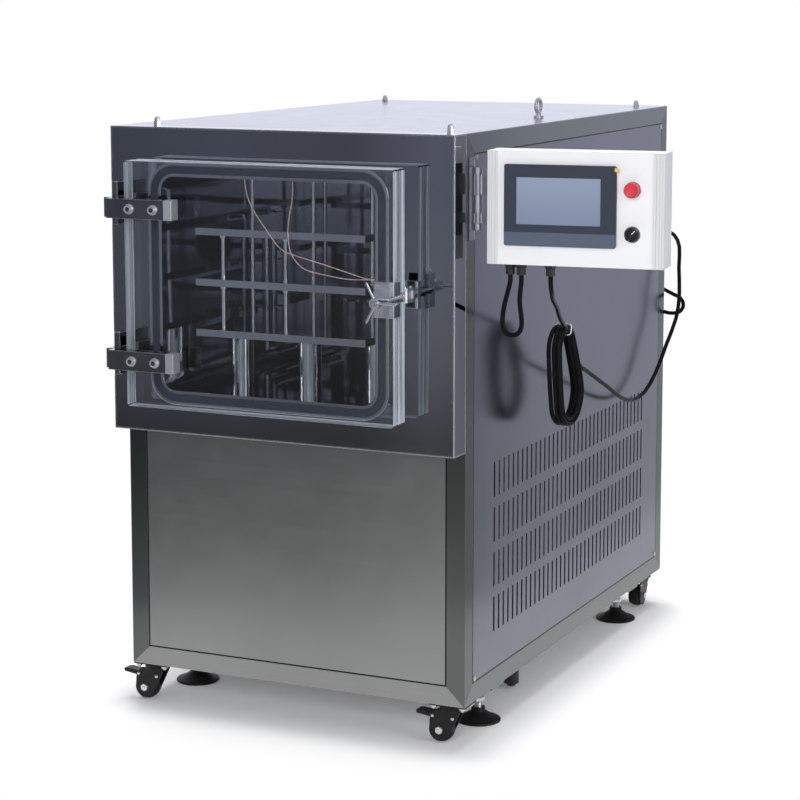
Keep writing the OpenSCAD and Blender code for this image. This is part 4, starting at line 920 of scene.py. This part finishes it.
def make_floor(size):
    """A pale sheet that takes the machine's shadow near it, with a painted shadow where its white glow is
    kept low round the machine, and is lit to plain white further off.
    """
    half = size / 2
    floor = mesh_piece("floor", [(-half, -half, 0), (half, -half, 0), (half, half, 0), (-half, half, 0)],
                       [[0, 1, 2, 3]])
    white = (1, 1, 1, 1)
    middle, half_box = (-0.169, 0.073), (0.37, 0.59)
    f = Finish("floor_sheet")
    x, y, _ = f.axes(f.spot)
    out_x = f.most(f.minus(f.math("ABSOLUTE", f.minus(x, middle[0])), half_box[0]), 0.0)
    out_y = f.most(f.minus(f.math("ABSOLUTE", f.minus(y, middle[1])), half_box[1]), 0.0)
    away = f.reach(out_x, out_y)
    edge = f.span(away, 0.01, 0.22)
    grain = f.noise(f.placed(), 3.0, 2.0, 0.5)
    cloth = f.mix(grain, (0.90, 0.90, 0.90, 1), (0.93, 0.93, 0.93, 1))
    sheet = f.add("ShaderNodeBsdfDiffuse", {0: cloth})
    lit = f.add("ShaderNodeEmission", {0: white, 1: 1.0})
    path = f.add("ShaderNodeLightPath")
    seen = f.most(*[path.outputs[f"Is {kind} Ray"] for kind in ("Camera", "Glossy", "Transmission")])
    # Painted shadow: the white glow is weaker on and near the machine's footprint, deepening its shadow
    # there.
    painted_light = f.times(seen, f.span(away, 0.0, 0.12, 0.09, 0.38))
    lift = f.add("ShaderNodeEmission", {0: white, 1: painted_light})
    near = f.add("ShaderNodeAddShader", {0: sheet.outputs[0], 1: lift.outputs[0]})
    mixed = f.add("ShaderNodeMixShader", {0: f.times(edge, seen), 1: near.outputs[0], 2: lit.outputs[0]})
    dress(f.finished(mixed), floor)


def make_cards():
    """Three upright cards and three level flags that the polished steel reflects."""
    height = 3.2
    card("front_wall", (-2.8, -0.60), (1.6, -1.75), height,
         [(0.0, (0.34, 0.34, 0.34)), (0.08, (0.24, 0.25, 0.25)), (0.25, (0.14, 0.15, 0.145)),
          (0.45, (0.085, 0.09, 0.095)), (0.62, (0.15, 0.16, 0.18)), (0.78, (0.175, 0.19, 0.22)),
          (1.02, (0.155, 0.168, 0.21)), (height, (0.21, 0.22, 0.265))],
         [(0.0, (1.0, 1.0, 1.0)), (0.42, (0.8, 0.8, 0.8)), (0.50, (1.1, 1.1, 1.1)),
          (0.56, (1.0, 0.96, 0.94)), (0.60, (1.7, 1.66, 1.62)), (0.66, (1.0, 1.0, 1.0)),
          (1.0, (1.2, 1.2, 1.2))])
    card("side_wall", (0.62, -0.25), (0.46, 2.75), height,
         [(0.0, (0.42, 0.43, 0.44)), (0.25, (0.40, 0.41, 0.44)), (0.70, (0.42, 0.43, 0.50)),
          (height, (0.56, 0.57, 0.67))],
         [(0.0, (0.30, 0.31, 0.30)), (0.10, (0.22, 0.24, 0.23)), (0.13, (0.10, 0.13, 0.115)),
          (0.155, (0.10, 0.13, 0.115)), (0.175, (0.78, 0.79, 0.80)), (0.22, (0.66, 0.67, 0.68)),
          (0.32, (0.95, 0.95, 0.95)), (0.7, (1.05, 1.05, 1.05)), (1.0, (1.2, 1.2, 1.2))])
    card("rear_wall", (3.2, 3.0), (-4.2, 3.4), height,
         [(0.0, (0.98, 1.0, 1.12)), (1.2, (0.98, 1.0, 1.12)), (height, (0.8, 0.82, 0.9))],
         [(0.0, (1.0, 1.0, 1.0)), (0.5, (1.02, 1.02, 1.0)), (1.0, (0.97, 0.97, 0.97))])
    flag("side_flag", (0.24, -0.6), (1.1, 2.8), (0.62, 0.63, 0.64, 1))
    flag("front_flag", (-2.6, -1.9), (1.2, -0.66), (0.56, 0.56, 0.56, 1))
    flag("ceiling_flag", (-4.5, -4.5), (4.5, 4.5), (0.55, 0.57, 0.63, 1), 3.3)


class DRYER_OT_stage(bpy.types.Operator):
    """Makes the camera, the lamps, the white surroundings, the floor and the studio cards"""

    bl_idname = "dryer.stage"
    bl_label = "Stage"

    def execute(self, context):
        settings = context.scene.dryer_stage
        context.scene.view_settings.view_transform = "Standard"
        make_camera(settings.lens)
        power = settings.lamp_power
        overhead = softbox("top_lamp", (-0.5, 0.7, 3.6), (-0.2, -0.2, 0.3), (2.6, 2.6), 125 * power)
        overhead.visible_glossy = False
        softbox("side_lamp", (3.9, -1.2, 2.2), (0.2, 0, 0.6), (2.0, 2.0), 50 * power)
        softbox("front_lamp", (1.0, -4.8, 2.1), (0, 0, 0.7), (1.8, 1.8), 98 * power)
        make_surroundings()
        make_floor(settings.floor_size)
        make_cards()
        return {"FINISHED"}


# ------------------------------------------------------------------ cables and leads


def in_hank(x, u, w):
    """The hank's own millimetres to cabinet millimetres: u and w turned by the hank's tilt about X."""
    c, s = math.cos(HANK_TILT), math.sin(HANK_TILT)
    return np.stack([HANK_AT[0] + x, HANK_AT[1] + u * c - w * s, HANK_AT[2] + u * s + w * c], axis=1)


def hank_line(turns):
    """Turns of the tied hank: an upright egg of two arcs and two straights, wound outside then inside in
    three layers, in the hank's tilted plane. A turn's reach from the middle is a smooth closed curve."""
    per_turn = 48
    s = np.linspace(0.0, turns + 0.25, int((turns + 0.25) * per_turn) + 1)
    phi = math.pi / 2 - math.tau * s
    # Each state is a layer's place across the hank, and 1 where the turn lies inside the others.
    d = HANK_PITCH
    states = np.array([(d, 0.0), (d, 1.0), (0.0, 1.0), (0.0, 0.0), (-d, 0.0), (-d, 0.0)])
    place = np.clip(s - 0.35, 0, len(states) - 1.001)
    whole = np.floor(place).astype(int)
    part = smooth_step((place - whole - 0.55) / 0.45)[:, None]
    after = np.minimum(whole + 1, len(states) - 1)
    state = states[whole] * (1 - part) + states[after] * part
    inset = state[:, 1] * HANK_PITCH
    # Egg outline by direction: the support function of two circles, followed by its own angle.
    up = np.sin(phi)
    share = smooth_step((up + 0.35) / 0.7)
    r = (HANK_TOP_R - inset) * share + (HANK_LOW_R - inset) * (1 - share)
    c = HANK_TOP_Z * share + HANK_LOW_Z * (1 - share)
    wobble = 1.1 * np.sin(2.3 * s + 0.7) + 0.8 * np.sin(5.1 * s + 2.0)
    u = (r + 0.6 * wobble) * np.cos(phi)
    return in_hank(state[:, 0] + 0.9 * np.sin(3.7 * s), u, c + r * up)


def panel_cable_line(turns):
    """The whole panel cable: down from the box, round the hank, then along the side to the rear gland."""
    return curve_through(np.vstack([DROP_ROUTE[:-1], hank_line(turns)[2:-2], LOOP_ROUTE[1:]]), 2)


def cable(name, line, radius, nodes):
    """A declared cable: a tube along its line that stands for its plain CAD tube."""
    path = at_cabinet(evenly(line, 5.0))
    piece = tube(name, path, radius, 18)
    dress(bpy.data.materials.get("cable_jacket") or cable_jacket(), piece)
    declare(piece, "cabinet", "cable", *nodes)


class DRYER_OT_cables(bpy.types.Operator):
    """Makes the three black cables, the tied hank and its tie"""

    bl_idname = "dryer.cables"
    bl_label = "Cables"

    def execute(self, context):
        settings = context.scene.dryer_cables
        radius = settings.cable_radius
        tie = hank_tie()
        cable("sensor_cable_tube", curve_through(SENSOR_ROUTE, 4), radius, ["sensor_cable"])
        cable("panel_cable_tube", panel_cable_line(settings.hank_turns), radius,
              ["panel_cable", "panel_cable_hank"])
        cable("rear_cable_tube", curve_through(REAR_ROUTE, 4), radius, ["rear_cable"])
        return {"FINISHED"}


def hank_tie():
    """White band round the hank's top: a flat strap, a superellipse |x / a|^4 + |y / b|^4 = 1 swept once
    round the strands at the angle phi from the hank's side."""
    phi = math.radians(58)
    sides, half_wide, thick, mean = 48, 1.9, 1.0, 16.0
    a, b, power = 16.6, 11.6, 4.0
    out = np.array([math.cos(phi), math.sin(phi)])
    along = np.array([-out[1], out[0]])
    mid = (0.0, HANK_TOP_Z) + 40.0 * out
    angle = np.linspace(0.0, math.tau, sides, endpoint=False)
    cx, cr = (np.sign(t) * np.abs(t) ** (2 / power) for t in (np.cos(angle), np.sin(angle)))
    rings = []
    for side, lift in ((-half_wide, 0.0), (-half_wide, thick), (half_wide, thick), (half_wide, 0.0)):
        k = 1 + lift / mean
        u, w = (mid[n] + out[n] * cr * b * k + along[n] * side for n in (0, 1))
        rings.append(in_hank(cx * a * k, u, w))
    points = at_cabinet(np.vstack(rings + [rings[0]]))
    piece = mesh_piece("hank_tie", points, ring_faces(len(rings) + 1, sides, close_ends=False))
    outward(piece)
    dress(plastic("tie_white", (0.82, 0.83, 0.84, 1), 0.35, 600, 0.00002), piece)
    return declare(piece, "cabinet", "white_paint")


class DRYER_OT_leads(bpy.types.Operator):
    """Makes the two twisted sensor leads inside the chamber"""

    bl_idname = "dryer.leads"
    bl_label = "Sensor leads"

    def execute(self, context):
        settings = context.scene.dryer_cables
        finish = lead_finish()
        for k, route in enumerate(LEAD_ROUTES):
            path = at_cabinet(evenly(curve_through(route, 12), 0.9))
            a, b = frames_along(path)
            turn = math.tau * distance_along(path) / settings.lay_length
            points, faces = [], []
            r, sides = settings.strand_radius, 8
            for half in (0.0, math.pi):
                core = path + r * (np.cos(turn + half)[:, None] * a + np.sin(turn + half)[:, None] * b)
                faces += ring_faces(len(core), sides, start=len(points) * len(core) * sides)
                points.append(tube_points(core, r, sides))
            piece = mesh_piece(f"sensor_lead_{k + 1}", np.vstack(points), faces, 60)
            map_along(piece, path, sides)
            dress(finish, piece)
            declare(piece, "cabinet", "sensor_lead", "sensor_leads")
        return {"FINISHED"}


# ------------------------------------------------------------------ steelwork


class DRYER_OT_cabinet(bpy.types.Operator):
    """Finishes the welded frame, its panels, screws and lifting eye"""

    bl_idname = "dryer.cabinet"
    bl_label = "Cabinet"

    def execute(self, context):
        look = context.scene.dryer_finishes
        dress(frame_steel(look.frame_colour, 0.17), "frame")
        dress(steel("front_brushed", tint(look.frame_colour, 1.38), 0.3, "X", 0.000003, aniso=0.4,
                    gap="front_panel"), "front_panel")
        for sheet in ("left_panel", "right_panel", "rear_panel"):
            dress(steel(sheet + "_satin", look.side_colour, 0.2, "Z", 0.000002, wave=0.002, gap=sheet),
                  sheet)
        dress(steel("top_satin", look.top_colour, 0.2, "X", 0.000006), "top_panel")
        dress(steel("tray_zinc", (0.45, 0.46, 0.47, 1), 0.4, ""), "base_tray")
        dress(steel("bright_steel", look.bright_colour, 0.14, "", 0.00001, edge=0.0006),
              "pivot_pins", "latch_bracket", "oil_lines")
        dress(steel("post_mirror", (0.94, 0.95, 0.98, 1), 0.09, "", 0.000004, wave=0.002, edge=0.001),
              "shelf_supports")
        dress(steel("screw_steel", (0.80, 0.81, 0.84, 1), 0.36, "", 0.00001, edge=0.0006),
              "case_fasteners", "lifting_eye")
        return {"FINISHED"}


class DRYER_OT_bonnet(bpy.types.Operator):
    """Finishes the mirror-polished bonnet, the chamber, its shelves and its gasket"""

    bl_idname = "dryer.bonnet"
    bl_label = "Bonnet and chamber"

    def execute(self, context):
        look = context.scene.dryer_finishes
        dress(steel("bonnet_mirror", tint(look.mirror_colour, 0.62), 0.03, "", 0.0000015, wave=0.004,
                    edge=0.005, mottle=0.03, wear_and_highlight=0.8), "bonnet")
        dress(steel("chamber_mirror", (0.585, 0.595, 0.625, 1), 0.05, "", 0.000002, wave=0.006,
                    edge=0.0025, mottle=0.03), "chamber")
        dress(steel("shelf_satin", (0.66, 0.68, 0.74, 1), 0.1, "X", 0.000004, wave=0.002, edge=0.001),
              "shelves")
        dress(rubber("gasket_rubber", (0.035, 0.042, 0.06, 1), 0.35), "door_gasket")
        dress(plastic("gland_black", (0.014, 0.014, 0.015, 1), 0.4), "cable_glands")
        return {"FINISHED"}


def bar_screw_heads():
    """Domed washers and socket heads on the hinge bars: turned profiles with a wide bright chamfer and a
    dark sunk hexagon, painted shade standing in for the socket's depth."""
    washer = [(10.1, -0.2), (10.1, 1.0), (9.5, 2.05), (8.6, 2.3)]
    head = [(8.6, 2.2), (8.3, 3.4), (8.1, 7.2), (7.6, 8.0), (6.6, 8.35), (5.2, 8.4), (4.9, 8.15)]
    socket = [(8.16, 1.0), (8.26, 0.98)]
    parts, sunk = [], []
    for x, z in BAR_SCREWS:
        stand = standing_out(at_cabinet, BAR_FACE, x, z)
        parts.append(turned("washer", washer, stand, 48, 50))
        parts.append(turned("head", head, stand, 48, 60))
        # The dark hexagon is painted shade of the socket: a thin dark sheet in the head's top.
        sunk.append(prism("socket", polygon_outline(head[-1][0], 6), socket, stand, 20))
    return join("bar_screw_heads", parts), join("bar_screw_sockets", sunk)


class DRYER_OT_door(bpy.types.Operator):
    """Finishes the clear door, its hinge bars, brackets and latch"""

    bl_idname = "dryer.door"
    bl_label = "Door and latch"

    def execute(self, context):
        look = context.scene.dryer_finishes
        dress(clear_plastic(look.door_colour), "door")
        dress(steel("screw_steel_door", (0.86, 0.87, 0.88, 1), 0.22, "", 0.00001, edge=0.0006),
              "door_screws")
        heads, sockets = bar_screw_heads()
        dress(steel("screw_heads", (0.92, 0.93, 0.94, 1), 0.34, "", 0.00001, edge=0.0004), heads)
        dress(plastic("socket_shade", (0.02, 0.021, 0.024, 1), 0.5), sockets)
        for piece in (heads, sockets):
            declare(piece, "door", "bright_steel")
        dress(polished_bar(tint(look.bright_colour, 0.34)), "door_fittings", "hinge_brackets")
        dress(steel("star_polished", tint(look.bright_colour, 1.25), 0.12, "", 0.000004, edge=0.0012),
              "star_handle")
        bolt = at_cabinet([LATCH_X, 0.0, LATCH_Z])
        dress(threaded("bolt_thread", tint(look.bright_colour, 1.1), bolt, axis=1, pitch=0.0017,
                       radius=0.0056), "swing_bolt")
        return {"FINISHED"}


# ------------------------------------------------------------------ control box


def stop_button():
    """Red push button: a stem and a cap with a rolled rim round a shallow dished face."""
    profile = [(8.2, 4.6), (8.2, 9.8), (12.8, 10.0), (13.7, 10.8), (14.0, 12.0), (14.0, 19.5), (13.7, 21.0),
               (12.9, 21.9), (11.8, 22.0), (11.0, 21.4), (10.0, 21.1), (5.0, 20.9), (0.0, 20.8)]
    stand = standing_out(at_box, BOX_FACE, BUTTON_X, BUTTON_Z)
    piece = turned("stop_button_cap", profile, stand, 56, 40)
    return declare(piece, "stop_button", "red_plastic", "stop_button")


def selector():
    """Black selector: a ribbed skirt, whose radius is a cosine of its angle, and a grip bar across it at
    45 degrees with a white line at its pointing end."""
    stand = standing_out(at_box, BOX_FACE, BUTTON_X, KNOB_Z)
    c = s = math.sqrt(0.5)

    def across(p):
        return stand(np.column_stack([c * p[:, 0] - s * p[:, 1], s * p[:, 0] + c * p[:, 1], p[:, 2]]))

    radius, rib, ribs = 13.2, 0.35, 24
    angle = np.linspace(0.0, math.tau, 120, endpoint=False)
    circle = np.column_stack([np.cos(angle), np.sin(angle)])
    skirt = (radius + rib * np.cos(ribs * angle))[:, None] * circle
    base = prism("selector_skirt", skirt, [(4.6, 0.93), (5.6, 1.0), (10.2, 1.0), (11.6, 0.95), (12.1, 0.86)],
                 stand, 50)
    grip = prism("selector_grip", slot_outline(26.0, 8.4, 3.4),
                 [(9.0, 1.0), (19.0, 0.96), (21.2, 0.90), (22.0, 0.78)], across, 50)
    knob = join("selector_knob_body", [base, grip])
    line = slot_outline(8.6, 1.7, 0.7, 3) + (7.2, 0.0)
    pointer = prism("selector_pointer", line, [(21.4, 1.0), (22.25, 1.0)], across, 50)
    declare(knob, "selector_knob", "black_plastic", "selector_knob")
    declare(pointer, "selector_knob", "white_paint")
    return knob, pointer


def film_tab():
    """Small pull tab of the screen's film: a strip bent up by the square of its length, on a grid of
    rows along it and columns across it, with a second face behind and a wall round its rim."""
    rows, columns = 9, 3
    long, half_wide, drop, rise, thick = 9.0, 3.4, 1.5, 2.6, 0.45
    u, v = np.meshgrid(np.linspace(0.0, 1.0, rows), np.linspace(-1.0, 1.0, columns), indexing="ij")
    x, z, out = 270.0 + long * u, 74.5 + half_wide * v - drop * u, 6.5 + rise * u**2
    top = np.column_stack([x.ravel(), BOX_FACE - out.ravel(), z.ravel()])
    low = top + (0.0, thick, 0.0)
    grid = np.arange(rows * columns).reshape(rows, columns)
    quads = np.stack([grid[:-1, :-1], grid[:-1, 1:], grid[1:, 1:], grid[1:, :-1]], axis=-1).reshape(-1, 4)
    rim = np.concatenate([grid[0], grid[1:, -1], grid[-1, -2::-1], grid[-2:0:-1, 0]])
    after = np.roll(rim, -1)
    n = grid.size
    wall = np.stack([rim, after, after + n, rim + n], axis=1)
    faces = np.vstack([quads, quads[:, ::-1] + n, wall])
    piece = mesh_piece("film_tab", at_box(np.vstack([top, low])), faces.tolist())
    outward(piece)
    return declare(piece, "control_box", "grey_plastic")


class DRYER_OT_control_box(bpy.types.Operator):
    """Finishes the control box and makes its button and selector"""

    bl_idname = "dryer.control_box"
    bl_label = "Control box"

    def execute(self, context):
        look = context.scene.dryer_finishes
        dress(white_case(look.case_colour), "panel_front")
        dress(rail_paint(tint(look.rail_colour, 0.97)), "panel_case")
        dress(touch_finish(), "touch_panel")
        dress(steel("collar_chrome", (0.66, 0.67, 0.69, 1), 0.2, "", 0.00001, edge=0.0012),
              "control_bezels")
        dress(plastic("gland_black_box", (0.016, 0.016, 0.017, 1), 0.4), "panel_glands")
        dress(hinge_steel(), "panel_hinge_leaf", "panel_hinge_arm")
        button = stop_button()
        dress(plastic("button_red", look.button_colour, 0.3, 700, 0.00001, 0.0014, gloss=0.4), button)
        knob, pointer = selector()
        dress(plastic("selector_black", (0.012, 0.012, 0.013, 1), 0.32, 700, 0.00001, 0.0008, gloss=0.35),
              knob)
        dress(plastic("pointer_white", (0.84, 0.85, 0.86, 1), 0.4), pointer)
        tab = film_tab()
        dress(plastic("tab_yellow", (0.80, 0.62, 0.10, 1), 0.4), tab)
        return {"FINISHED"}


# ------------------------------------------------------------------ running gear and machinery


def on_caster(end, lie=False):
    """Gives a function from a caster's own millimetres to row metres. With lie, a shape turned about Z
    is laid with its height along the axle, out of the caster's front."""
    x0, y0, turn = CASTERS[end]
    c, s = math.cos(math.radians(turn)), math.sin(math.radians(turn))

    def place(p):
        if lie:
            p = np.column_stack([p[:, 0] - AXLE_BACK, -p[:, 2], p[:, 1] + AXLE_Z])
        x, y, z = p.T
        return at_cabinet(np.column_stack([x0 + c * x - s * y, y0 + s * x + c * y, z]))

    return place


def caster_wheel(end):
    """Wheel: a rounded tread, a sunk web and a hub, turned round the axle."""
    side = [(0.0, -9.8), (8.0, -9.8), (9.0, -9.0), (9.6, -6.0), (17.5, -5.4), (19.0, -8.6), (21.0, -9.9),
            (23.0, -9.2), (24.4, -7.4), (25.0, -4.8)]
    profile = side + [(r, -h) for r, h in side[::-1]]
    piece = turned(f"wheel_{end}_tyre", profile, on_caster(end, lie=True), 56, 35)
    return declare(piece, f"wheel_{end}", "caster_rubber", f"caster_wheel_{end}")


def raised(profile, height):
    """The profile moved up by a height."""
    return [(r, height + h) for r, h in profile]


def axle_bolt(end):
    """Bright axle ends: a washer, a chamfered hexagon head and a domed tip, on both sides of the fork."""
    washer = raised([(0.0, -0.1), (7.4, -0.1), (7.4, 0.8), (7.0, 1.1), (0.0, 1.1)], CHEEK_FACE)
    head = [(CHEEK_FACE + 1.0 + height, share) for height, share in nut_layers(4.6)]
    tip = raised([(3.0, 0.0), (3.0, 0.8), (2.0, 1.3), (0.0, 1.4)], CHEEK_FACE + 5.4)
    rivet = raised([(3.4, -0.1), (3.4, 0.7), (2.6, 1.5), (0.0, 1.9)], CHEEK_FACE)
    parts = []
    for way in (1, -1):
        stand = moved(on_caster(end, lie=True), stretch=(1, 1, way))
        parts.append(turned("washer", washer, stand, 36))
        parts.append(prism("head", polygon_outline(8.0, 6), head, stand, 20))
        parts.append(turned("tip", tip, stand, 24))
        for x, z in ((-15.0, 27.0), (27.0, 25.0)):
            parts.append(turned("rivet", rivet, moved(stand, (x, z, 0.0)), 24, 60))
    return declare(join(f"axle_bolt_{end}", parts), f"caster_{end}", "bright_steel")


def bearing_cups():
    """Ball races: two rolled rings round each swivel axis, between the fork's top and the plate."""
    profile = [(19.0, 66.5), (23.5, 66.7), (24.6, 68.0), (24.8, 70.2), (24.2, 71.4), (22.6, 72.0),
               (22.6, 72.8), (24.4, 73.4), (25.4, 74.6), (25.4, 76.8), (24.4, 78.2), (19.0, 78.4)]
    parts = [turned("cup", profile, on_caster(end), 56, 40) for end in CASTERS]
    return declare(join("caster_races", parts), "cabinet", "black_metal")


def plate_nuts():
    """Four bright nuts and bolt tips under each caster plate."""
    nut = [(PLATE_UNDERSIDE - height, share) for height, share in nut_layers(5.2)]
    tip = [(3.0, 74.2), (3.0, 71.6), (2.2, 70.8), (0.0, 70.8)]
    parts = []
    for end in CASTERS:
        for x, y in ((-30.0, -21.0), (-30.0, 21.0), (30.0, -21.0), (30.0, 21.0)):
            stand = moved(on_caster(end), (x, y, 0.0))
            parts.append(prism("nut", polygon_outline(6.6, 6), nut, stand, 20))
            parts.append(turned("tip", tip, stand, 16))
    return declare(join("caster_plate_nuts", parts), "cabinet", "bright_steel")


def levelling_foot(end):
    """Foot: a rubber pad with a rolled lip and a hollow-curved top, and its screw, whose radius steps in
    and out each thread, with a lock nut."""
    pad_profile = [(0.0, 0.0), (43.4, 0.0), (44.7, 0.8), (45.0, 2.2), (44.8, 4.0), (43.6, 5.2), (41.5, 5.3),
                   (40.0, 6.2), (38.6, 6.1), (36.6, 7.5), (35.2, 7.5), (33.2, 9.1), (31.8, 9.2),
                   (29.6, 11.0), (28.2, 11.3), (23.0, 15.0), (18.0, 18.6), (15.0, 20.4), (14.0, 22.0),
                   (14.0, 27.0), (13.2, 28.4), (0.0, 28.6)]
    radius, depth, bottom, half_pitch, steps = 8.0, 0.8, 28.0, 1.25, 82
    nut_place, nut_height = 40.0, 9.0
    stand = moved(at_cabinet, (*FEET[end], 0.0))
    pad = turned(f"foot_pad_{end}", pad_profile, stand, 72, 40)
    thread = [(radius - depth * (k % 2), bottom + half_pitch * k) for k in range(steps)]
    screw = turned("screw", [(0.0, bottom)] + thread + [(0.0, thread[-1][1])], stand, 28, 60)
    layers = [(nut_place + height, share) for height, share in nut_layers(nut_height)]
    nut = prism("nut", polygon_outline(13.0, 6), layers, stand, 20)
    screw = join(f"foot_screw_{end}", [screw, nut])
    declare(pad, f"foot_{end}", "foot_rubber", f"foot_{end}")
    declare(screw, f"foot_{end}", "bright_steel")
    return pad, screw


class DRYER_OT_running_gear(bpy.types.Operator):
    """Finishes the casters, pedals and levelling feet"""

    bl_idname = "dryer.running_gear"
    bl_label = "Casters and feet"

    def execute(self, context):
        black = plastic("caster_black", (0.008, 0.008, 0.009, 1), 0.38, 500, 0.00004, 0.0022, gloss=0.3)
        zinc = steel("zinc_bright", (0.78, 0.79, 0.80, 1), 0.3, "", 0.00001, edge=0.0004)
        tyre = rubber("wheel_rubber", (0.010, 0.010, 0.010, 1), 0.5)
        sole = rubber("foot_rubber", (0.006, 0.006, 0.006, 1), 0.5)
        forks = [f"caster_fork_{end}" for end in CASTERS]
        dress(black, "caster_plates", *forks, "brake_pedal_fl", "brake_pedal_fr")
        dress(zinc, plate_nuts())
        dress(black, bearing_cups())
        for end in CASTERS:
            dress(tyre, caster_wheel(end))
            dress(zinc, axle_bolt(end))
            pad, screw = levelling_foot(end)
            dress(sole, pad)
            dress(zinc, screw)
        return {"FINISHED"}


class DRYER_OT_machinery(bpy.types.Operator):
    """Finishes the cold trap, refrigeration set, tank and electrical plate"""

    bl_idname = "dryer.machinery"
    bl_label = "Machinery"

    def execute(self, context):
        dress(plastic("foam_jacket", (0.05, 0.05, 0.055, 1), 0.75, 300, 0.0004, 0.003), "cold_trap")
        dress(copper_lines(), "pipework")
        dress(plastic("compressor_black", (0.02, 0.02, 0.021, 1), 0.4, 300, 0.0001, 0.004), "compressor")
        dress(fins(), "condenser")
        dress(plastic("fan_black", (0.02, 0.02, 0.02, 1), 0.4), "fan")
        dress(steel("tank_steel", (0.55, 0.56, 0.57, 1), 0.25, "X"), "oil_tank")
        dress(steel("plate_zinc", (0.5, 0.51, 0.52, 1), 0.4, ""), "electrical_plate")
        return {"FINISHED"}


def fins():
    """Condenser block: bright fins, a fine square wave along the depth, with the gaps between them painted
    dark as painted shade.
    """
    f = Finish("condenser_fins")
    pitch = 0.0032
    wave = f.math("SINE", f.times(f.axes(f.spot)[1], math.tau / pitch))
    gap = f.span(wave, -0.2, 0.5)
    # Painted shade: the gaps between the fins are dark.
    base = f.mix(gap, (0.05, 0.05, 0.055, 1), (0.62, 0.63, 0.65, 1))
    return f.shade(base, 0.35, f.bump(wave, 0.0006), METAL)


# ------------------------------------------------------------------ panel and run


CLASSES = (
    DRYER_PG_finishes, DRYER_PG_cables, DRYER_PG_stage, DRYER_OT_stage, DRYER_OT_cables, DRYER_OT_leads,
    DRYER_OT_cabinet, DRYER_OT_bonnet, DRYER_OT_door, DRYER_OT_control_box, DRYER_OT_running_gear,
    DRYER_OT_machinery,
)
STEPS = [c for c in CLASSES if issubclass(c, bpy.types.Operator)]


class DRYER_PT_panel(bpy.types.Panel):
    """Buttons and settings of the freeze dryer"""

    bl_label = "Freeze dryer"
    bl_idname = "DRYER_PT_panel"
    bl_space_type = "VIEW_3D"
    bl_region_type = "UI"
    bl_category = "Freeze dryer"

    def draw(self, context):
        scene = context.scene
        for group in (scene.dryer_finishes, scene.dryer_cables, scene.dryer_stage):
            box = self.layout.box()
            for name in group.__annotations__:
                box.prop(group, name)
        for step in STEPS:
            self.layout.operator(step.bl_idname)


def register():
    """Registers the classes and puts the three groups of settings on the scene."""
    for c in (*CLASSES, DRYER_PT_panel):
        bpy.utils.register_class(c)
    bpy.types.Scene.dryer_finishes = bpy.props.PointerProperty(type=DRYER_PG_finishes)
    bpy.types.Scene.dryer_cables = bpy.props.PointerProperty(type=DRYER_PG_cables)
    bpy.types.Scene.dryer_stage = bpy.props.PointerProperty(type=DRYER_PG_stage)


def unregister():
    """Takes away what register() put in place."""
    del bpy.types.Scene.dryer_stage
    del bpy.types.Scene.dryer_cables
    del bpy.types.Scene.dryer_finishes
    for c in reversed((*CLASSES, DRYER_PT_panel)):
        bpy.utils.unregister_class(c)


def main():
    """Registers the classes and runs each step."""
    register()
    for step in STEPS:
        group, name = step.bl_idname.split(".")
        getattr(getattr(bpy.ops, group), name)()


if __name__ == "__main__":
    main()
